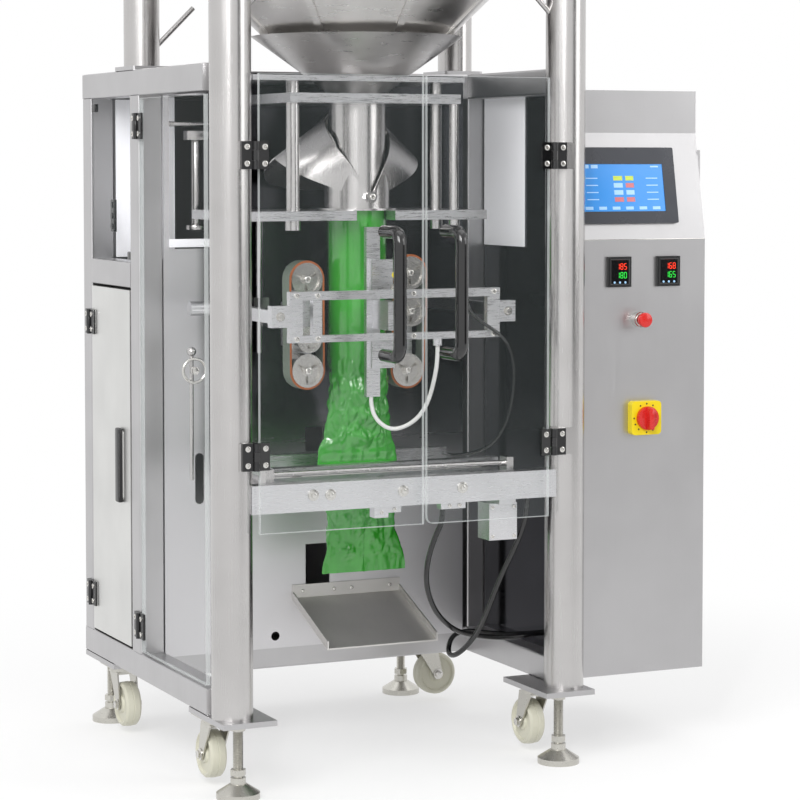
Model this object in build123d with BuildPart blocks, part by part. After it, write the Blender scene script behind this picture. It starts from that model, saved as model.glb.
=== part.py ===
# Vertical form, fill and seal machine for snack bags, in millimetres, +Z up, its front towards -Y.
# The origin is on the floor, at the middle of the machine's outer box.
import math
import os

from build123d import *

os.makedirs("parts", exist_ok=True)

# Driving dimensions: frame
frame_left = -522.0
frame_width = 757.0
column_d = 76.0
column_wall = 3.0
front_axis_y = -320.0
frame_depth = 740.0
rear_column_d = 70.0
rear_column_back = 480.0
rail = 50.0
rail_wall = 3.0
rail_radius = 4.0
rail_foot_z = 148.0
body_top_z = 1331.0
column_top_z = 1640.0
sheet = 3.0
panel_back = 395.0

# Driving dimensions: bag path
tube_back = 210.0
tube_d = 110.0
tube_wall = 2.0
tube_foot_z = 786.0
film_r = 56.5
film_gap = 0.6
former_plate_z = 1264.0
former_plate_t = 18.0
lower_plate_z = 1043.0
lower_plate_t = 18.0
funnel_plate_z = 1304.0
funnel_plate_t = 10.0
funnel_rim_r = 203.0
funnel_rim_z = 1392.0
seal_z = 572.0
bag_foot_z = 361.0

# Driving dimensions: doors
door_t = 8.0
door_foot_z = 484.0
door_top_z = 1311.0
door_gap = 6.0
hinge_high_z = 1165.0
hinge_low_z = 625.0
hinge_h = 50.0
hinge_leaf = 26.0
leaf_t = 5.0
barrel_r = 6.0
handle_foot_z = 788.0
handle_top_z = 1038.0
handle_d = 24.0
handle_reach = 70.0
handle_bend = 22.0

# Driving dimensions: control cabinet
cabinet_left_gap = 3.0
cabinet_width = 300.0
cabinet_front_back = 50.0
cabinet_depth = 430.0
cabinet_top_z = 1293.0
console_top_z = 1210.0
console_foot_z = 1003.0
console_lean = 38.0

# Worked out
frame_right = frame_left + frame_width
column_r = column_d / 2
left_axis_x = frame_left + column_r
right_axis_x = frame_right - column_r
rear_axis_y = front_axis_y + rear_column_back
rear_y = front_axis_y + frame_depth
panel_y = front_axis_y + panel_back
tube_x = (left_axis_x + right_axis_x) / 2
tube_y = front_axis_y + tube_back
tube_r = tube_d / 2
rail_top_z = rail_foot_z + rail
top_rail_z = body_top_z - rail


def block(x, y, z, mode=Mode.ADD):
    """Adds a box between pairs of x, y and z to the part that is being built."""
    centre = [(pair[0] + pair[1]) / 2 for pair in (x, y, z)]
    with Locations(tuple(centre)):
        Box(abs(x[1] - x[0]), abs(y[1] - y[0]), abs(z[1] - z[0]), mode=mode)


def round_bar(start, end, radius, mode=Mode.ADD):
    """Adds a round bar between two points."""
    axis = Vector(*end) - Vector(*start)
    with BuildSketch(Plane(origin=start, z_dir=axis)) as disc:
        Circle(radius)
    extrude(disc.sketch, amount=axis.length, mode=mode)


def square_tube(start, end):
    """Adds a length of the frame's square tube, sides square to the axes."""
    axis = Vector(*end) - Vector(*start)
    side = (1, 0, 0) if abs(axis.Z) > 1 else (0, 0, 1)
    with BuildSketch(Plane(origin=start, x_dir=side, z_dir=axis)) as section:
        RectangleRounded(rail, rail, rail_radius)
        Rectangle(rail - 2 * rail_wall, rail - 2 * rail_wall, mode=Mode.SUBTRACT)
    extrude(section.sketch, amount=axis.length)


def write(part, name):
    """Labels a finished piece and writes it as its own file."""
    part.label = name
    export_step(part, "parts/" + name + ".step")


# Base and top rails along the sides
half_rail = rail / 2
side_rail_front = front_axis_y + column_r + 1
left_rail_x = frame_left + half_rail
right_rail_x = frame_right - half_rail
with BuildPart() as base_side_rails:
    for x in (left_rail_x, right_rail_x):
        square_tube((x, front_axis_y + 30, rail_foot_z + half_rail), (x, rear_y, rail_foot_z + half_rail))
        round_bar((left_axis_x, front_axis_y, rail_foot_z - 1), (left_axis_x, front_axis_y, rail_top_z + 1),
                  column_r + 0.2, mode=Mode.SUBTRACT)
        round_bar((right_axis_x, front_axis_y, rail_foot_z - 1), (right_axis_x, front_axis_y, rail_top_z + 1),
                  column_r + 0.2, mode=Mode.SUBTRACT)
write(base_side_rails.part, "base_side_rails")

with BuildPart() as top_side_rails:
    for x in (left_rail_x, right_rail_x):
        square_tube((x, side_rail_front, top_rail_z + half_rail), (x, rear_y, top_rail_z + half_rail))
write(top_side_rails.part, "top_side_rails")

# Cabinet posts and the rails across
mid_post_y = panel_y + half_rail
rear_post_y = rear_y - half_rail
with BuildPart() as cabinet_posts:
    for x in (left_rail_x, right_rail_x):
        for y in (mid_post_y, rear_post_y):
            square_tube((x, y, rail_top_z), (x, y, top_rail_z))
write(cabinet_posts.part, "cabinet_posts")

mid_rail_z = 908.0
with BuildPart() as cabinet_cross_rails:
    for y in (mid_post_y, rear_post_y):
        for z in (rail_foot_z + half_rail, top_rail_z + half_rail):
            square_tube((left_rail_x + half_rail, y, z), (right_rail_x - half_rail, y, z))
    for x in (left_rail_x, right_rail_x):
        square_tube((x, mid_post_y + half_rail, mid_rail_z + half_rail),
                    (x, rear_post_y - half_rail, mid_rail_z + half_rail))
write(cabinet_cross_rails.part, "cabinet_cross_rails")

# Columns, with the pads that carry the door hinges
hinge_zs = (hinge_low_z, hinge_high_z)
door_back_y = front_axis_y - column_r + 6
door_front_y = door_back_y - door_t
hinge_axis_y = door_front_y - leaf_t - 1.2
left_hinge_x = left_axis_x + 31
right_hinge_x = right_axis_x - 47
with BuildPart() as front_columns:
    with BuildSketch(Plane.XY.offset(rail_foot_z)):
        with Locations((left_axis_x, front_axis_y), (right_axis_x, front_axis_y)):
            Circle(column_r)
    extrude(amount=column_top_z - rail_foot_z)
    for z in hinge_zs:
        block((left_axis_x, left_hinge_x + 2), (door_front_y, front_axis_y), (z - hinge_h / 2, z + hinge_h / 2))
        block((right_hinge_x, right_axis_x), (door_front_y, front_axis_y), (z - hinge_h / 2, z + hinge_h / 2))
    with BuildSketch(Plane.XY.offset(rail_foot_z)):
        with Locations((left_axis_x, front_axis_y), (right_axis_x, front_axis_y)):
            Circle(column_r - column_wall)
    extrude(amount=column_top_z - rail_foot_z, mode=Mode.SUBTRACT)
write(front_columns.part, "front_columns")

with BuildPart() as rear_columns:
    with BuildSketch(Plane.XY.offset(body_top_z + 8)):
        with Locations((left_axis_x, rear_axis_y), (right_axis_x, rear_axis_y)):
            Circle(rear_column_d / 2)
            Circle(rear_column_d / 2 - column_wall, mode=Mode.SUBTRACT)
    extrude(amount=column_top_z - body_top_z - 8)
write(rear_columns.part, "rear_columns")

# Flanges at the feet of the rear columns and on all four tops
flange_side = 120.0
flange_t = 10.0
flange_pitch = 92.0
column_spots = [(x, y) for x in (left_axis_x, right_axis_x) for y in (front_axis_y, rear_axis_y)]
with BuildPart() as column_flanges:
    with BuildSketch(Plane.XY.offset(column_top_z)):
        with Locations(*column_spots):
            RectangleRounded(flange_side, flange_side, 6)
            with GridLocations(flange_pitch, flange_pitch, 2, 2):
                Circle(6.5, mode=Mode.SUBTRACT)
    extrude(amount=flange_t)
    with BuildSketch(Plane.XY.offset(body_top_z)):
        with Locations((left_axis_x + 5, rear_axis_y), (right_axis_x - 5, rear_axis_y)):
            RectangleRounded(86, 110, 6)
    extrude(amount=8)
write(column_flanges.part, "column_flanges")

# Rails between the column tops, and the knee braces under them
head_rail_z = column_top_z - rail
with BuildPart() as head_frame:
    for y in (front_axis_y, rear_axis_y):
        square_tube((left_axis_x + 27, y, head_rail_z + half_rail), (right_axis_x - 27, y, head_rail_z + half_rail))
    for x in (left_axis_x, right_axis_x):
        square_tube((x, front_axis_y + 27, head_rail_z + half_rail), (x, rear_axis_y - 27, head_rail_z + half_rail))
    for x in (left_axis_x, right_axis_x):
        for y, r in ((front_axis_y, column_r), (rear_axis_y, rear_column_d / 2)):
            round_bar((x, y, head_rail_z - 1), (x, y, column_top_z + 1), r, mode=Mode.SUBTRACT)
write(head_frame.part, "head_frame")

brace_r = 5.0
front_brace_z = 1432.0
rear_brace_z = 1378.0
with BuildPart() as knee_braces:
    for y, foot_z, r in ((front_axis_y, front_brace_z, column_r), (rear_axis_y, rear_brace_z, rear_column_d / 2)):
        for x, way, axis_x in ((left_axis_x + r - 6, 1, left_axis_x), (right_axis_x - r + 6, -1, right_axis_x)):
            reach = 78
            round_bar((x, y, foot_z), (x + way * reach, y, foot_z + reach), brace_r)
            round_bar((axis_x, y, foot_z - 40), (axis_x, y, foot_z + 40), r, mode=Mode.SUBTRACT)
write(knee_braces.part, "knee_braces")

# Foot plates, levelling feet and casters
plate_w = 104.0
plate_d = 180.0
plate_t = 10.0
foot_inset = 11.0
foot_x = (left_axis_x + foot_inset, right_axis_x - foot_inset)
rear_foot_y = rear_y - 18
plate_spots = []
for side, x in enumerate((frame_left + plate_w / 2, frame_right - plate_w / 2)):
    plate_spots.append((x, front_axis_y - 55 + plate_d / 2))
    plate_spots.append((x, rear_y - plate_d / 2))
with BuildPart() as foot_plates:
    with BuildSketch(Plane.XY.offset(rail_foot_z - plate_t)):
        with Locations(*plate_spots):
            Rectangle(plate_w, plate_d)
    extrude(amount=plate_t)
write(foot_plates.part, "foot_plates")

plate_foot_z = rail_foot_z - plate_t
stem_r = 8.0
with BuildPart() as levelling_feet:
    with BuildSketch(Plane.XZ) as foot_profile:
        with BuildLine():
            Polyline((0, 0), (40, 0), (40, 11), (17, 26), (14, 26), (14, 38), (stem_r, 38),
                     (stem_r, plate_foot_z), (0, plate_foot_z), (0, 0))
        make_face()
    with Locations(*[(x, y, 0) for x in foot_x for y in (front_axis_y, rear_foot_y)]):
        add(revolve(foot_profile.sketch, axis=Axis.Z, mode=Mode.PRIVATE))
    for z in (42, plate_foot_z - 14):
        with BuildSketch(Plane.XY.offset(z)) as nuts:
            with Locations(*[(x, y) for x in foot_x for y in (front_axis_y, rear_foot_y)]):
                RegularPolygon(15, 6)
        extrude(nuts.sketch, amount=11)
write(levelling_feet.part, "levelling_feet")

wheel_r = 45.0
wheel_w = 32.0
wheel_axis_z = 58.0
axle_r = 6.0
axle_clearance = 0.05
caster_back = 92.0
caster_trail = 28.0
left_caster_x = left_axis_x + 4
right_caster_x = right_axis_x - 14
caster_front_y = front_axis_y + caster_back
caster_rear_y = rear_y - 112


def caster_frame(x, y, turn):
    """The caster's own plane: its X runs along the axle, its Y trails from the swivel."""
    return Plane(origin=(x, y, 0), x_dir=(math.cos(turn), math.sin(turn), 0), z_dir=(0, 0, 1))


caster_spots = {
    "front_left": (left_caster_x, caster_front_y, 0.0),
    "front_right": (right_caster_x, caster_front_y, 0.0),
    "rear_left": (left_caster_x, caster_rear_y, math.pi),
    "rear_right": (right_caster_x + 10, caster_rear_y, -math.pi / 2),
}
fork_top_z = plate_foot_z - 6
with BuildPart() as caster_forks:
    for x, y, turn in caster_spots.values():
        base = caster_frame(x, y, turn)
        with BuildSketch(base.offset(fork_top_z)) as top_plate:
            Rectangle(70, 80)
        extrude(top_plate.sketch, amount=6)
        with BuildSketch(base.offset(fork_top_z - 12)) as swivel:
            Circle(27)
        extrude(swivel.sketch, amount=12)
        with BuildSketch(base.offset(fork_top_z - 15)) as crown:
            Rectangle(2 * 21, 52)
        extrude(crown.sketch, amount=4)
        for side in (-1, 1):
            cheek_plane = Plane(origin=base.from_local_coords((side * 19.5, 0, 0)), x_dir=base.y_dir, z_dir=base.x_dir)
            with BuildSketch(cheek_plane) as cheek:
                with BuildLine():
                    Polyline((-22, fork_top_z - 12), (26, fork_top_z - 12), (caster_trail + 11, wheel_axis_z),
                             (caster_trail + 5, wheel_axis_z - 11), (caster_trail - 5, wheel_axis_z - 11),
                             (caster_trail - 11, wheel_axis_z), (-22, fork_top_z - 12))
                make_face()
            extrude(cheek.sketch, amount=1.5, both=True)
        round_bar(base.from_local_coords((-23, caster_trail, wheel_axis_z)),
                  base.from_local_coords((23, caster_trail, wheel_axis_z)), axle_r)
write(caster_forks.part, "caster_forks")

for name, (x, y, turn) in caster_spots.items():
    base = caster_frame(x, y, turn)
    axle = base.from_local_coords((-wheel_w / 2, caster_trail, wheel_axis_z))
    half_w = wheel_w / 2
    with BuildPart() as wheel:
        with BuildSketch(Plane(origin=base.from_local_coords((0, caster_trail, wheel_axis_z)), x_dir=base.x_dir,
                               z_dir=base.y_dir)):
            with BuildLine():
                Polyline((-half_w, axle_r + axle_clearance), (-half_w, 15), (-half_w + 4, 18), (-half_w + 4, 34),
                         (-half_w, 37), (-half_w, wheel_r - 5), (-half_w + 4, wheel_r - 1), (-1.5, wheel_r),
                         (0, wheel_r - 1), (1.5, wheel_r), (half_w - 4, wheel_r - 1), (half_w, wheel_r - 5),
                         (half_w, 37), (half_w - 4, 34), (half_w - 4, 18), (half_w, 15),
                         (half_w, axle_r + axle_clearance), (-half_w, axle_r + axle_clearance))
            make_face()
        revolve(axis=Axis(base.from_local_coords((0, caster_trail, wheel_axis_z)), base.x_dir))
    write(wheel.part, "caster_wheel_" + name)

# Front panel of the cabinet, with its window, slot and the opening behind the tray
panel_right = frame_right - rail - 12
panel_left = frame_left + rail
panel_foot_z = 188.0
window_z = (985.0, 1282.0)
with BuildPart() as front_panel:
    block((panel_left, panel_right), (panel_y - sheet, panel_y), (panel_foot_z, body_top_z - 4))
    block((panel_left + 12, panel_left + 118), (panel_y - sheet - 1, panel_y + 1), window_z, mode=Mode.SUBTRACT)
    block((frame_left + 346, frame_left + 382), (panel_y - sheet - 1, panel_y + 1), (577, 626), mode=Mode.SUBTRACT)
    block((frame_left + 346, frame_left + 398), (panel_y - sheet - 1, panel_y + 1), (306, 392), mode=Mode.SUBTRACT)
    with BuildSketch(Plane.XZ.offset(-panel_y)) as pulls:
        with Locations((frame_left + 122, 535)):
            SlotOverall(100, 18, rotation=90)
        with Locations((frame_left + 281, 212)):
            Circle(9)
    extrude(pulls.sketch, amount=sheet, mode=Mode.SUBTRACT)
write(front_panel.part, "front_panel")

# Side wall on the right, rear panel, top cover and floor plate
with BuildPart() as right_side_wall:
    block((frame_right - 12, frame_right - 9), (front_axis_y + column_r + 2, panel_y - sheet - 1),
          (rail_top_z, top_rail_z))
    block((frame_right, frame_right + 2), (front_axis_y + column_r + 2, rear_y), (rail_foot_z + 2, body_top_z - 2))
write(right_side_wall.part, "right_side_wall")

with BuildPart() as rear_panel:
    block((frame_left + rail + 1, frame_right - rail - 1), (rear_y - 6, rear_y - 4), (rail_top_z, top_rail_z))
write(rear_panel.part, "rear_panel")

with BuildPart() as top_cover:
    block((frame_left + rail, frame_right - rail), (panel_y + rail, rear_y - rail), (body_top_z - 5, body_top_z - 2))
write(top_cover.part, "top_cover")

with BuildPart() as floor_plate:
    block((frame_left + rail, frame_right - rail), (panel_y + rail, rear_y - rail), (rail_foot_z + 2, rail_foot_z + 5))
write(floor_plate.part, "floor_plate")

with BuildPart() as left_window:
    block((frame_left + 4, frame_left + 9), (panel_y + rail, rear_y - rail), (mid_rail_z + rail, top_rail_z))
write(left_window.part, "left_window")

# Beam across the front, with the cable clamps and the junction box that hang under it
beam_z = (518.0, 570.0)
box_x = (tube_x + 187, tube_x + 246)
box_y = (front_axis_y + 14, front_axis_y + 62)
with BuildPart() as front_beam:
    block((left_axis_x + column_r - 8, right_axis_x - column_r + 8), (front_axis_y - 24, front_axis_y + 10), beam_z)
    for x in (left_axis_x, right_axis_x):
        round_bar((x, front_axis_y, beam_z[0] - 1), (x, front_axis_y, beam_z[1] + 1), column_r, mode=Mode.SUBTRACT)
    block((tube_x - 64, tube_x - 36), (front_axis_y - 14, front_axis_y + 8), (497, beam_z[0]))
    block((tube_x - 36, tube_x - 8), (front_axis_y - 10, front_axis_y + 8), (505, beam_z[0]))
    block((tube_x + 74, tube_x + 125), (front_axis_y - 10, front_axis_y + 8), (505, beam_z[0]))
    block((box_x[0] + 12, box_x[1] - 12), (front_axis_y - 4, box_y[1] - 10), (506, beam_z[0]))
    block(box_x, box_y, (436, 506))
write(front_beam.part, "front_beam")

# Plates that carry the bag former
plate_left = tube_x - 175
plate_right = tube_x + 178
plate_front_y = tube_y - 90
with BuildPart() as upper_former_plate:
    block((plate_left, plate_right), (plate_front_y, panel_y - sheet), (former_plate_z, former_plate_z + former_plate_t))
    round_bar((tube_x, tube_y, former_plate_z - 1), (tube_x, tube_y, former_plate_z + former_plate_t + 1),
              tube_r + 0.3, mode=Mode.SUBTRACT)
write(upper_former_plate.part, "upper_former_plate")

slot_half = 40.0
with BuildPart() as lower_former_plate:
    block((tube_x - 270, tube_x + 234), (plate_front_y, panel_y - sheet), (lower_plate_z, lower_plate_z + lower_plate_t))
    round_bar((tube_x, tube_y, lower_plate_z - 1), (tube_x, tube_y, lower_plate_z + lower_plate_t + 1),
              film_r + 4, mode=Mode.SUBTRACT)
    block((tube_x - slot_half, tube_x + slot_half), (plate_front_y - 1, tube_y),
          (lower_plate_z - 1, lower_plate_z + lower_plate_t + 1), mode=Mode.SUBTRACT)
write(lower_former_plate.part, "lower_former_plate")

with BuildPart() as funnel_plate:
    block((tube_x - 258, tube_x + 176), (tube_y - 112, panel_y - sheet),
          (funnel_plate_z, funnel_plate_z + funnel_plate_t))
    round_bar((tube_x, tube_y, funnel_plate_z - 1), (tube_x, tube_y, funnel_plate_z + funnel_plate_t + 1),
              100, mode=Mode.SUBTRACT)
write(funnel_plate.part, "funnel_plate")

# Round rods between the plates, each with a nut under the lower plate
lower_plate_top_z = lower_plate_z + lower_plate_t
former_plate_top_z = former_plate_z + former_plate_t
rod_spots = ((tube_x - 160, tube_y - 65, 12.5), (tube_x + 146, tube_y - 45, 11.0), (tube_x + 169, tube_y - 78, 9.5))
with BuildPart() as former_rods:
    for x, y, r in rod_spots:
        round_bar((x, y, lower_plate_top_z), (x, y, former_plate_z), r)
        if x + r < tube_x + 176:
            round_bar((x, y, former_plate_top_z), (x, y, funnel_plate_z), r)
        round_bar((x, y, lower_plate_z - 18), (x, y, lower_plate_z), r + 2)
write(former_rods.part, "former_rods")

# Forming tube and the funnel over it
with BuildPart() as forming_tube:
    with BuildSketch(Plane.XY.offset(tube_foot_z)):
        with Locations((tube_x, tube_y)):
            Circle(tube_r)
            Circle(tube_r - tube_wall, mode=Mode.SUBTRACT)
    extrude(amount=former_plate_top_z - tube_foot_z)
write(forming_tube.part, "forming_tube")

upright = Plane(origin=(tube_x, tube_y, 0), x_dir=(1, 0, 0), z_dir=(0, -1, 0))
tube_axis = Axis((tube_x, tube_y, 0), (0, 0, 1))
neck_z = funnel_plate_z + funnel_plate_t + 2
with BuildPart() as product_funnel:
    with BuildSketch(upright):
        with BuildLine():
            Polyline((tube_r - tube_wall, former_plate_top_z), (tube_r, former_plate_top_z), (97, neck_z),
                     (funnel_rim_r, funnel_rim_z), (funnel_rim_r - 3, funnel_rim_z), (93, neck_z + 2),
                     (tube_r - tube_wall, former_plate_top_z))
        make_face()
    revolve(axis=tube_axis)
write(product_funnel.part, "product_funnel")

# Wide chute under the weigher: a cone with flat ribs outside and straps up to the head rails
chute_foot_r = 168.0
chute_foot_z = 1380.0
chute_rim_r = 305.0
chute_rim_z = 1513.0
chute_collar = 30.0
chute_ribs = 8
rib_w = 14.0
rib_t = 5.0
with BuildPart() as upper_chute:
    with BuildSketch(upright):
        with BuildLine():
            Polyline((chute_foot_r, chute_foot_z), (chute_rim_r, chute_rim_z), (chute_rim_r, chute_rim_z + chute_collar),
                     (chute_rim_r - 3, chute_rim_z + chute_collar), (chute_rim_r - 3, chute_rim_z + 1.5),
                     (chute_foot_r - 3, chute_foot_z + 1.5), (chute_foot_r, chute_foot_z))
        make_face()
    revolve(axis=tube_axis)
    for rib in range(chute_ribs):
        turn = math.radians(rib * 360 / chute_ribs)
        outward = Vector(math.cos(turn), math.sin(turn), 0)
        rib_plane = Plane(origin=Vector(tube_x, tube_y, 0) - outward.cross(Vector(0, 0, 1)) * rib_w / 2,
                          x_dir=outward, z_dir=outward.cross(Vector(0, 0, 1)))
        with BuildSketch(rib_plane) as rib_face:
            with BuildLine():
                Polyline((chute_foot_r - 1.5, chute_foot_z), (chute_foot_r + rib_t, chute_foot_z),
                         (chute_rim_r + 1, chute_rim_z - rib_t), (chute_rim_r - 1.5, chute_rim_z),
                         (chute_foot_r - 1.5, chute_foot_z))
            make_face()
        extrude(rib_face.sketch, amount=rib_w)
    for y in (front_axis_y, rear_axis_y):
        half = math.sqrt((chute_rim_r - 1.5) ** 2 - (y - tube_y) ** 2)
        for x in (tube_x - half, tube_x + half):
            block((x - 2, x + 2), (y - 15, y + 15), (chute_rim_z + 4, head_rail_z))
write(upper_chute.part, "upper_chute")

# Forming collar: a sleeve round the tube, cut to a V at the front, with a shoulder that the film climbs.
# The ridge is given by its height at angles round the tube, 0 at the front and 180 at the back.
sleeve_r = film_r + 6
sleeve_wall = 2.0
shoulder_t = 2.0
ridge_heights = ((4, 1092), (30, 1140), (60, 1179), (90, 1213), (115, 1235))
ridge_back_z = 1252.0
hem_wing = ((-8, -66, 1082), (-38, -44, 1094), (-78, -22, 1110), (-120, 4, 1130), (-150, 52, 1160))
apron_foot = ((-150, 52, 1160), (-140, 120, 1118), (0, 150, 1098), (140, 120, 1118), (150, 52, 1160))


def on_ridge(angle, z, way=-1):
    """A point on the sleeve's outer face, at an angle from the front, on the left for way -1."""
    turn = math.radians(angle)
    return (tube_x + way * sleeve_r * math.sin(turn), tube_y - sleeve_r * math.cos(turn), z)


ridge_left = [on_ridge(angle, z) for angle, z in ridge_heights]
ridge_right = [on_ridge(angle, z, 1) for angle, z in ridge_heights]
hem_left = [(tube_x + x, tube_y + y, z) for x, y, z in hem_wing]
hem_right = [(tube_x - x, tube_y + y, z) for x, y, z in hem_wing]
apron_hem = [(tube_x + x, tube_y + y, z) for x, y, z in apron_foot]
apron_ridge = [ridge_left[-1], on_ridge(150, ridge_back_z - 4), on_ridge(180, ridge_back_z),
               on_ridge(150, ridge_back_z - 4, 1), ridge_right[-1]]
with BuildPart() as forming_collar:
    with BuildSketch(Plane.XY.offset(lower_plate_top_z)):
        with Locations((tube_x, tube_y)):
            Circle(sleeve_r)
            Circle(sleeve_r - sleeve_wall, mode=Mode.SUBTRACT)
    extrude(amount=ridge_back_z - lower_plate_top_z)
    reach = sleeve_r + 10
    with BuildSketch(Plane.XZ.offset(-tube_y)) as notch:
        with BuildLine():
            half_notch = [(sleeve_r * math.sin(math.radians(a)), z) for a, z in ridge_heights[:4]]
            Polyline(*[(tube_x - x, z) for x, z in reversed(half_notch)], *[(tube_x + x, z) for x, z in half_notch],
                     (tube_x + reach, half_notch[-1][1]), (tube_x + reach, ridge_back_z + 10),
                     (tube_x - reach, ridge_back_z + 10), (tube_x - reach, half_notch[-1][1]),
                     (tube_x - half_notch[-1][0], half_notch[-1][1]))
        make_face()
    extrude(notch.sketch, amount=reach, mode=Mode.SUBTRACT)
    with BuildSketch(Plane.YZ.offset(tube_x - reach)) as slope:
        with BuildLine():
            Polyline((tube_y, ridge_heights[3][1]), (tube_y + reach, ridge_back_z + 3), (tube_y + reach, ridge_back_z + 10),
                     (tube_y, ridge_back_z + 10), (tube_y, ridge_heights[3][1]))
        make_face()
    extrude(slope.sketch, amount=2 * reach, mode=Mode.SUBTRACT)
    for ridge, hem in ((ridge_left, hem_left), (ridge_right, hem_right), (apron_ridge, apron_hem)):
        shoulder = Face.make_surface_from_curves(Edge.make_spline(ridge), Edge.make_spline(hem))
        thicken(shoulder, amount=shoulder_t / 2, both=True)
    with BuildSketch(Plane.XY.offset(lower_plate_top_z)) as base_ring:
        with Locations((tube_x, tube_y)):
            Circle(sleeve_r + 14)
            Circle(sleeve_r - sleeve_wall, mode=Mode.SUBTRACT)
    extrude(base_ring.sketch, amount=4)
    round_bar((tube_x, tube_y - sleeve_r - 9, 1087), (tube_x, tube_y - sleeve_r + 1, 1087), 11)
write(forming_collar.part, "forming_collar")

# Film: a sleeve round the tube, the neck below it down to the seal, and the bag that hangs under the jaws
seal_w = 168.0
with BuildPart() as film_bag:
    with BuildSketch(Plane.XY.offset(tube_foot_z + 1)):
        with Locations((tube_x, tube_y)):
            Circle(film_r)
            Circle(tube_r + film_gap, mode=Mode.SUBTRACT)
    extrude(amount=lower_plate_top_z + 25 - tube_foot_z)
    with BuildSketch(Plane.XY.offset(seal_z + 1)):
        with Locations((tube_x, tube_y)):
            Rectangle(seal_w, 8)
    with BuildSketch(Plane.XY.offset(seal_z + 100)):
        with Locations((tube_x, tube_y)):
            RectangleRounded(128, 84, 34)
    with BuildSketch(Plane.XY.offset(tube_foot_z - 1)):
        with Locations((tube_x, tube_y)):
            RectangleRounded(2 * film_r, 2 * film_r - 4, film_r - 3)
    loft(ruled=True)
    with BuildSketch(Plane.XY.offset(bag_foot_z)):
        with Locations((tube_x + 14, tube_y)):
            Rectangle(176, 8)
    with BuildSketch(Plane.XY.offset(bag_foot_z + 95)):
        with Locations((tube_x + 8, tube_y)):
            RectangleRounded(150, 56, 24)
    with BuildSketch(Plane.XY.offset(seal_z - 9)):
        with Locations((tube_x, tube_y)):
            Rectangle(seal_w, 8)
    loft(ruled=True)
write(film_bag.part, "film_bag")

# Film drive: three pulleys in each belt, standing a little off the film
belt_t = 4.0
pulley_w = 40.0
pulley_front_y = tube_y - pulley_w / 2
left_pulleys = ((tube_x - 112, 930.0, 32.0), (tube_x - 107, 815.0, 25.0), (tube_x - 111, 756.0, 32.0))
right_pulleys = ((tube_x + 105, 939.0, 32.0), (tube_x + 107, 865.0, 30.0), (tube_x + 99, 751.0, 32.0))
spoke_slots = 3
hub_r = 9.0
rim_t = 6.0
face_depth = 6.0
with BuildPart() as belt_pulleys:
    for x, z, r in left_pulleys + right_pulleys:
        front = Plane(origin=(x, pulley_front_y, z), x_dir=(1, 0, 0), z_dir=(0, -1, 0))
        round_bar((x, pulley_front_y, z), (x, pulley_front_y + pulley_w, z), r)
        with BuildSketch(front) as recess:
            Circle(r - rim_t)
            Circle(hub_r, mode=Mode.SUBTRACT)
        extrude(recess.sketch, amount=-face_depth, mode=Mode.SUBTRACT)
        with BuildSketch(front) as slots:
            with PolarLocations((r - rim_t + hub_r) / 2, spoke_slots, start_angle=30):
                SlotOverall(r - rim_t - hub_r - 3, 6)
        extrude(slots.sketch, amount=-3 * face_depth, mode=Mode.SUBTRACT)
write(belt_pulleys.part, "belt_pulleys")

with BuildPart() as draw_belts:
    for group in (left_pulleys, right_pulleys):
        front = Plane(origin=(0, pulley_front_y + 2, 0), x_dir=(1, 0, 0), z_dir=(0, -1, 0))
        for extra, mode in ((belt_t, Mode.ADD), (0, Mode.SUBTRACT)):
            with BuildSketch(front) as loop:
                with BuildLine():
                    for x, z, r in group:
                        CenterArc((x, z), r + extra, 0, 360)
                make_hull()
            extrude(loop.sketch, amount=-(pulley_w - 4), mode=mode)
write(draw_belts.part, "draw_belts")

housing_w = 48.0
housing_plate_t = 10.0
with BuildPart() as belt_housings:
    for group in (left_pulleys, right_pulleys):
        top, middle, low = group
        back_y = pulley_front_y + pulley_w
        x = (top[0] + low[0]) / 2
        block((x - housing_w / 2, x + housing_w / 2), (back_y, back_y + housing_plate_t), (low[1] - 24, top[1] + 24))
        block((x - 20, x + 20), (back_y + housing_plate_t, back_y + 46), (800, 884))
        round_bar((x, back_y + 46, 845), (x, panel_y - sheet, 845), 16)
write(belt_housings.part, "belt_housings")

# Frame that carries the vertical sealer: two bars between end plates, on arms from the cabinet's panel
bar_y = front_axis_y + 38
bar_t = 16.0
bar_left = tube_x - 210
bar_right = tube_x + 221
bar_high_z = (899.0, 915.0)
bar_low_z = (821.0, 834.0)
arm_z = (850.0, 890.0)
hose_top = (frame_left + 472, front_axis_y + 46, 808.0)
with BuildPart() as sealer_frame:
    for span in (bar_high_z, bar_low_z):
        block((bar_left, bar_right), (bar_y, bar_y + bar_t), span)
    for x in ((bar_left, bar_left + 26), (bar_right - 26, bar_right), (bar_left + 46, bar_left + 64)):
        block(x, (bar_y + 1, bar_y + bar_t - 1), (bar_low_z[0], bar_high_z[1]))
    for outer_x, inner_x, way in ((tube_x - 246, bar_left, 1), (tube_x + 254, bar_right, -1)):
        block((outer_x, inner_x), (bar_y, bar_y + 20), arm_z)
        block((outer_x, outer_x + way * 18), (bar_y + 20, panel_y - sheet), (arm_z[0] + 8, arm_z[1] - 8))
    round_bar((tube_x - 246, front_axis_y + 300, 874), (tube_x - 310, front_axis_y + 300, 874), 14)
    round_bar((hose_top[0], hose_top[1], hose_top[2]), (hose_top[0], hose_top[1], bar_low_z[0]), 9)
write(sealer_frame.part, "sealer_frame")

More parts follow.
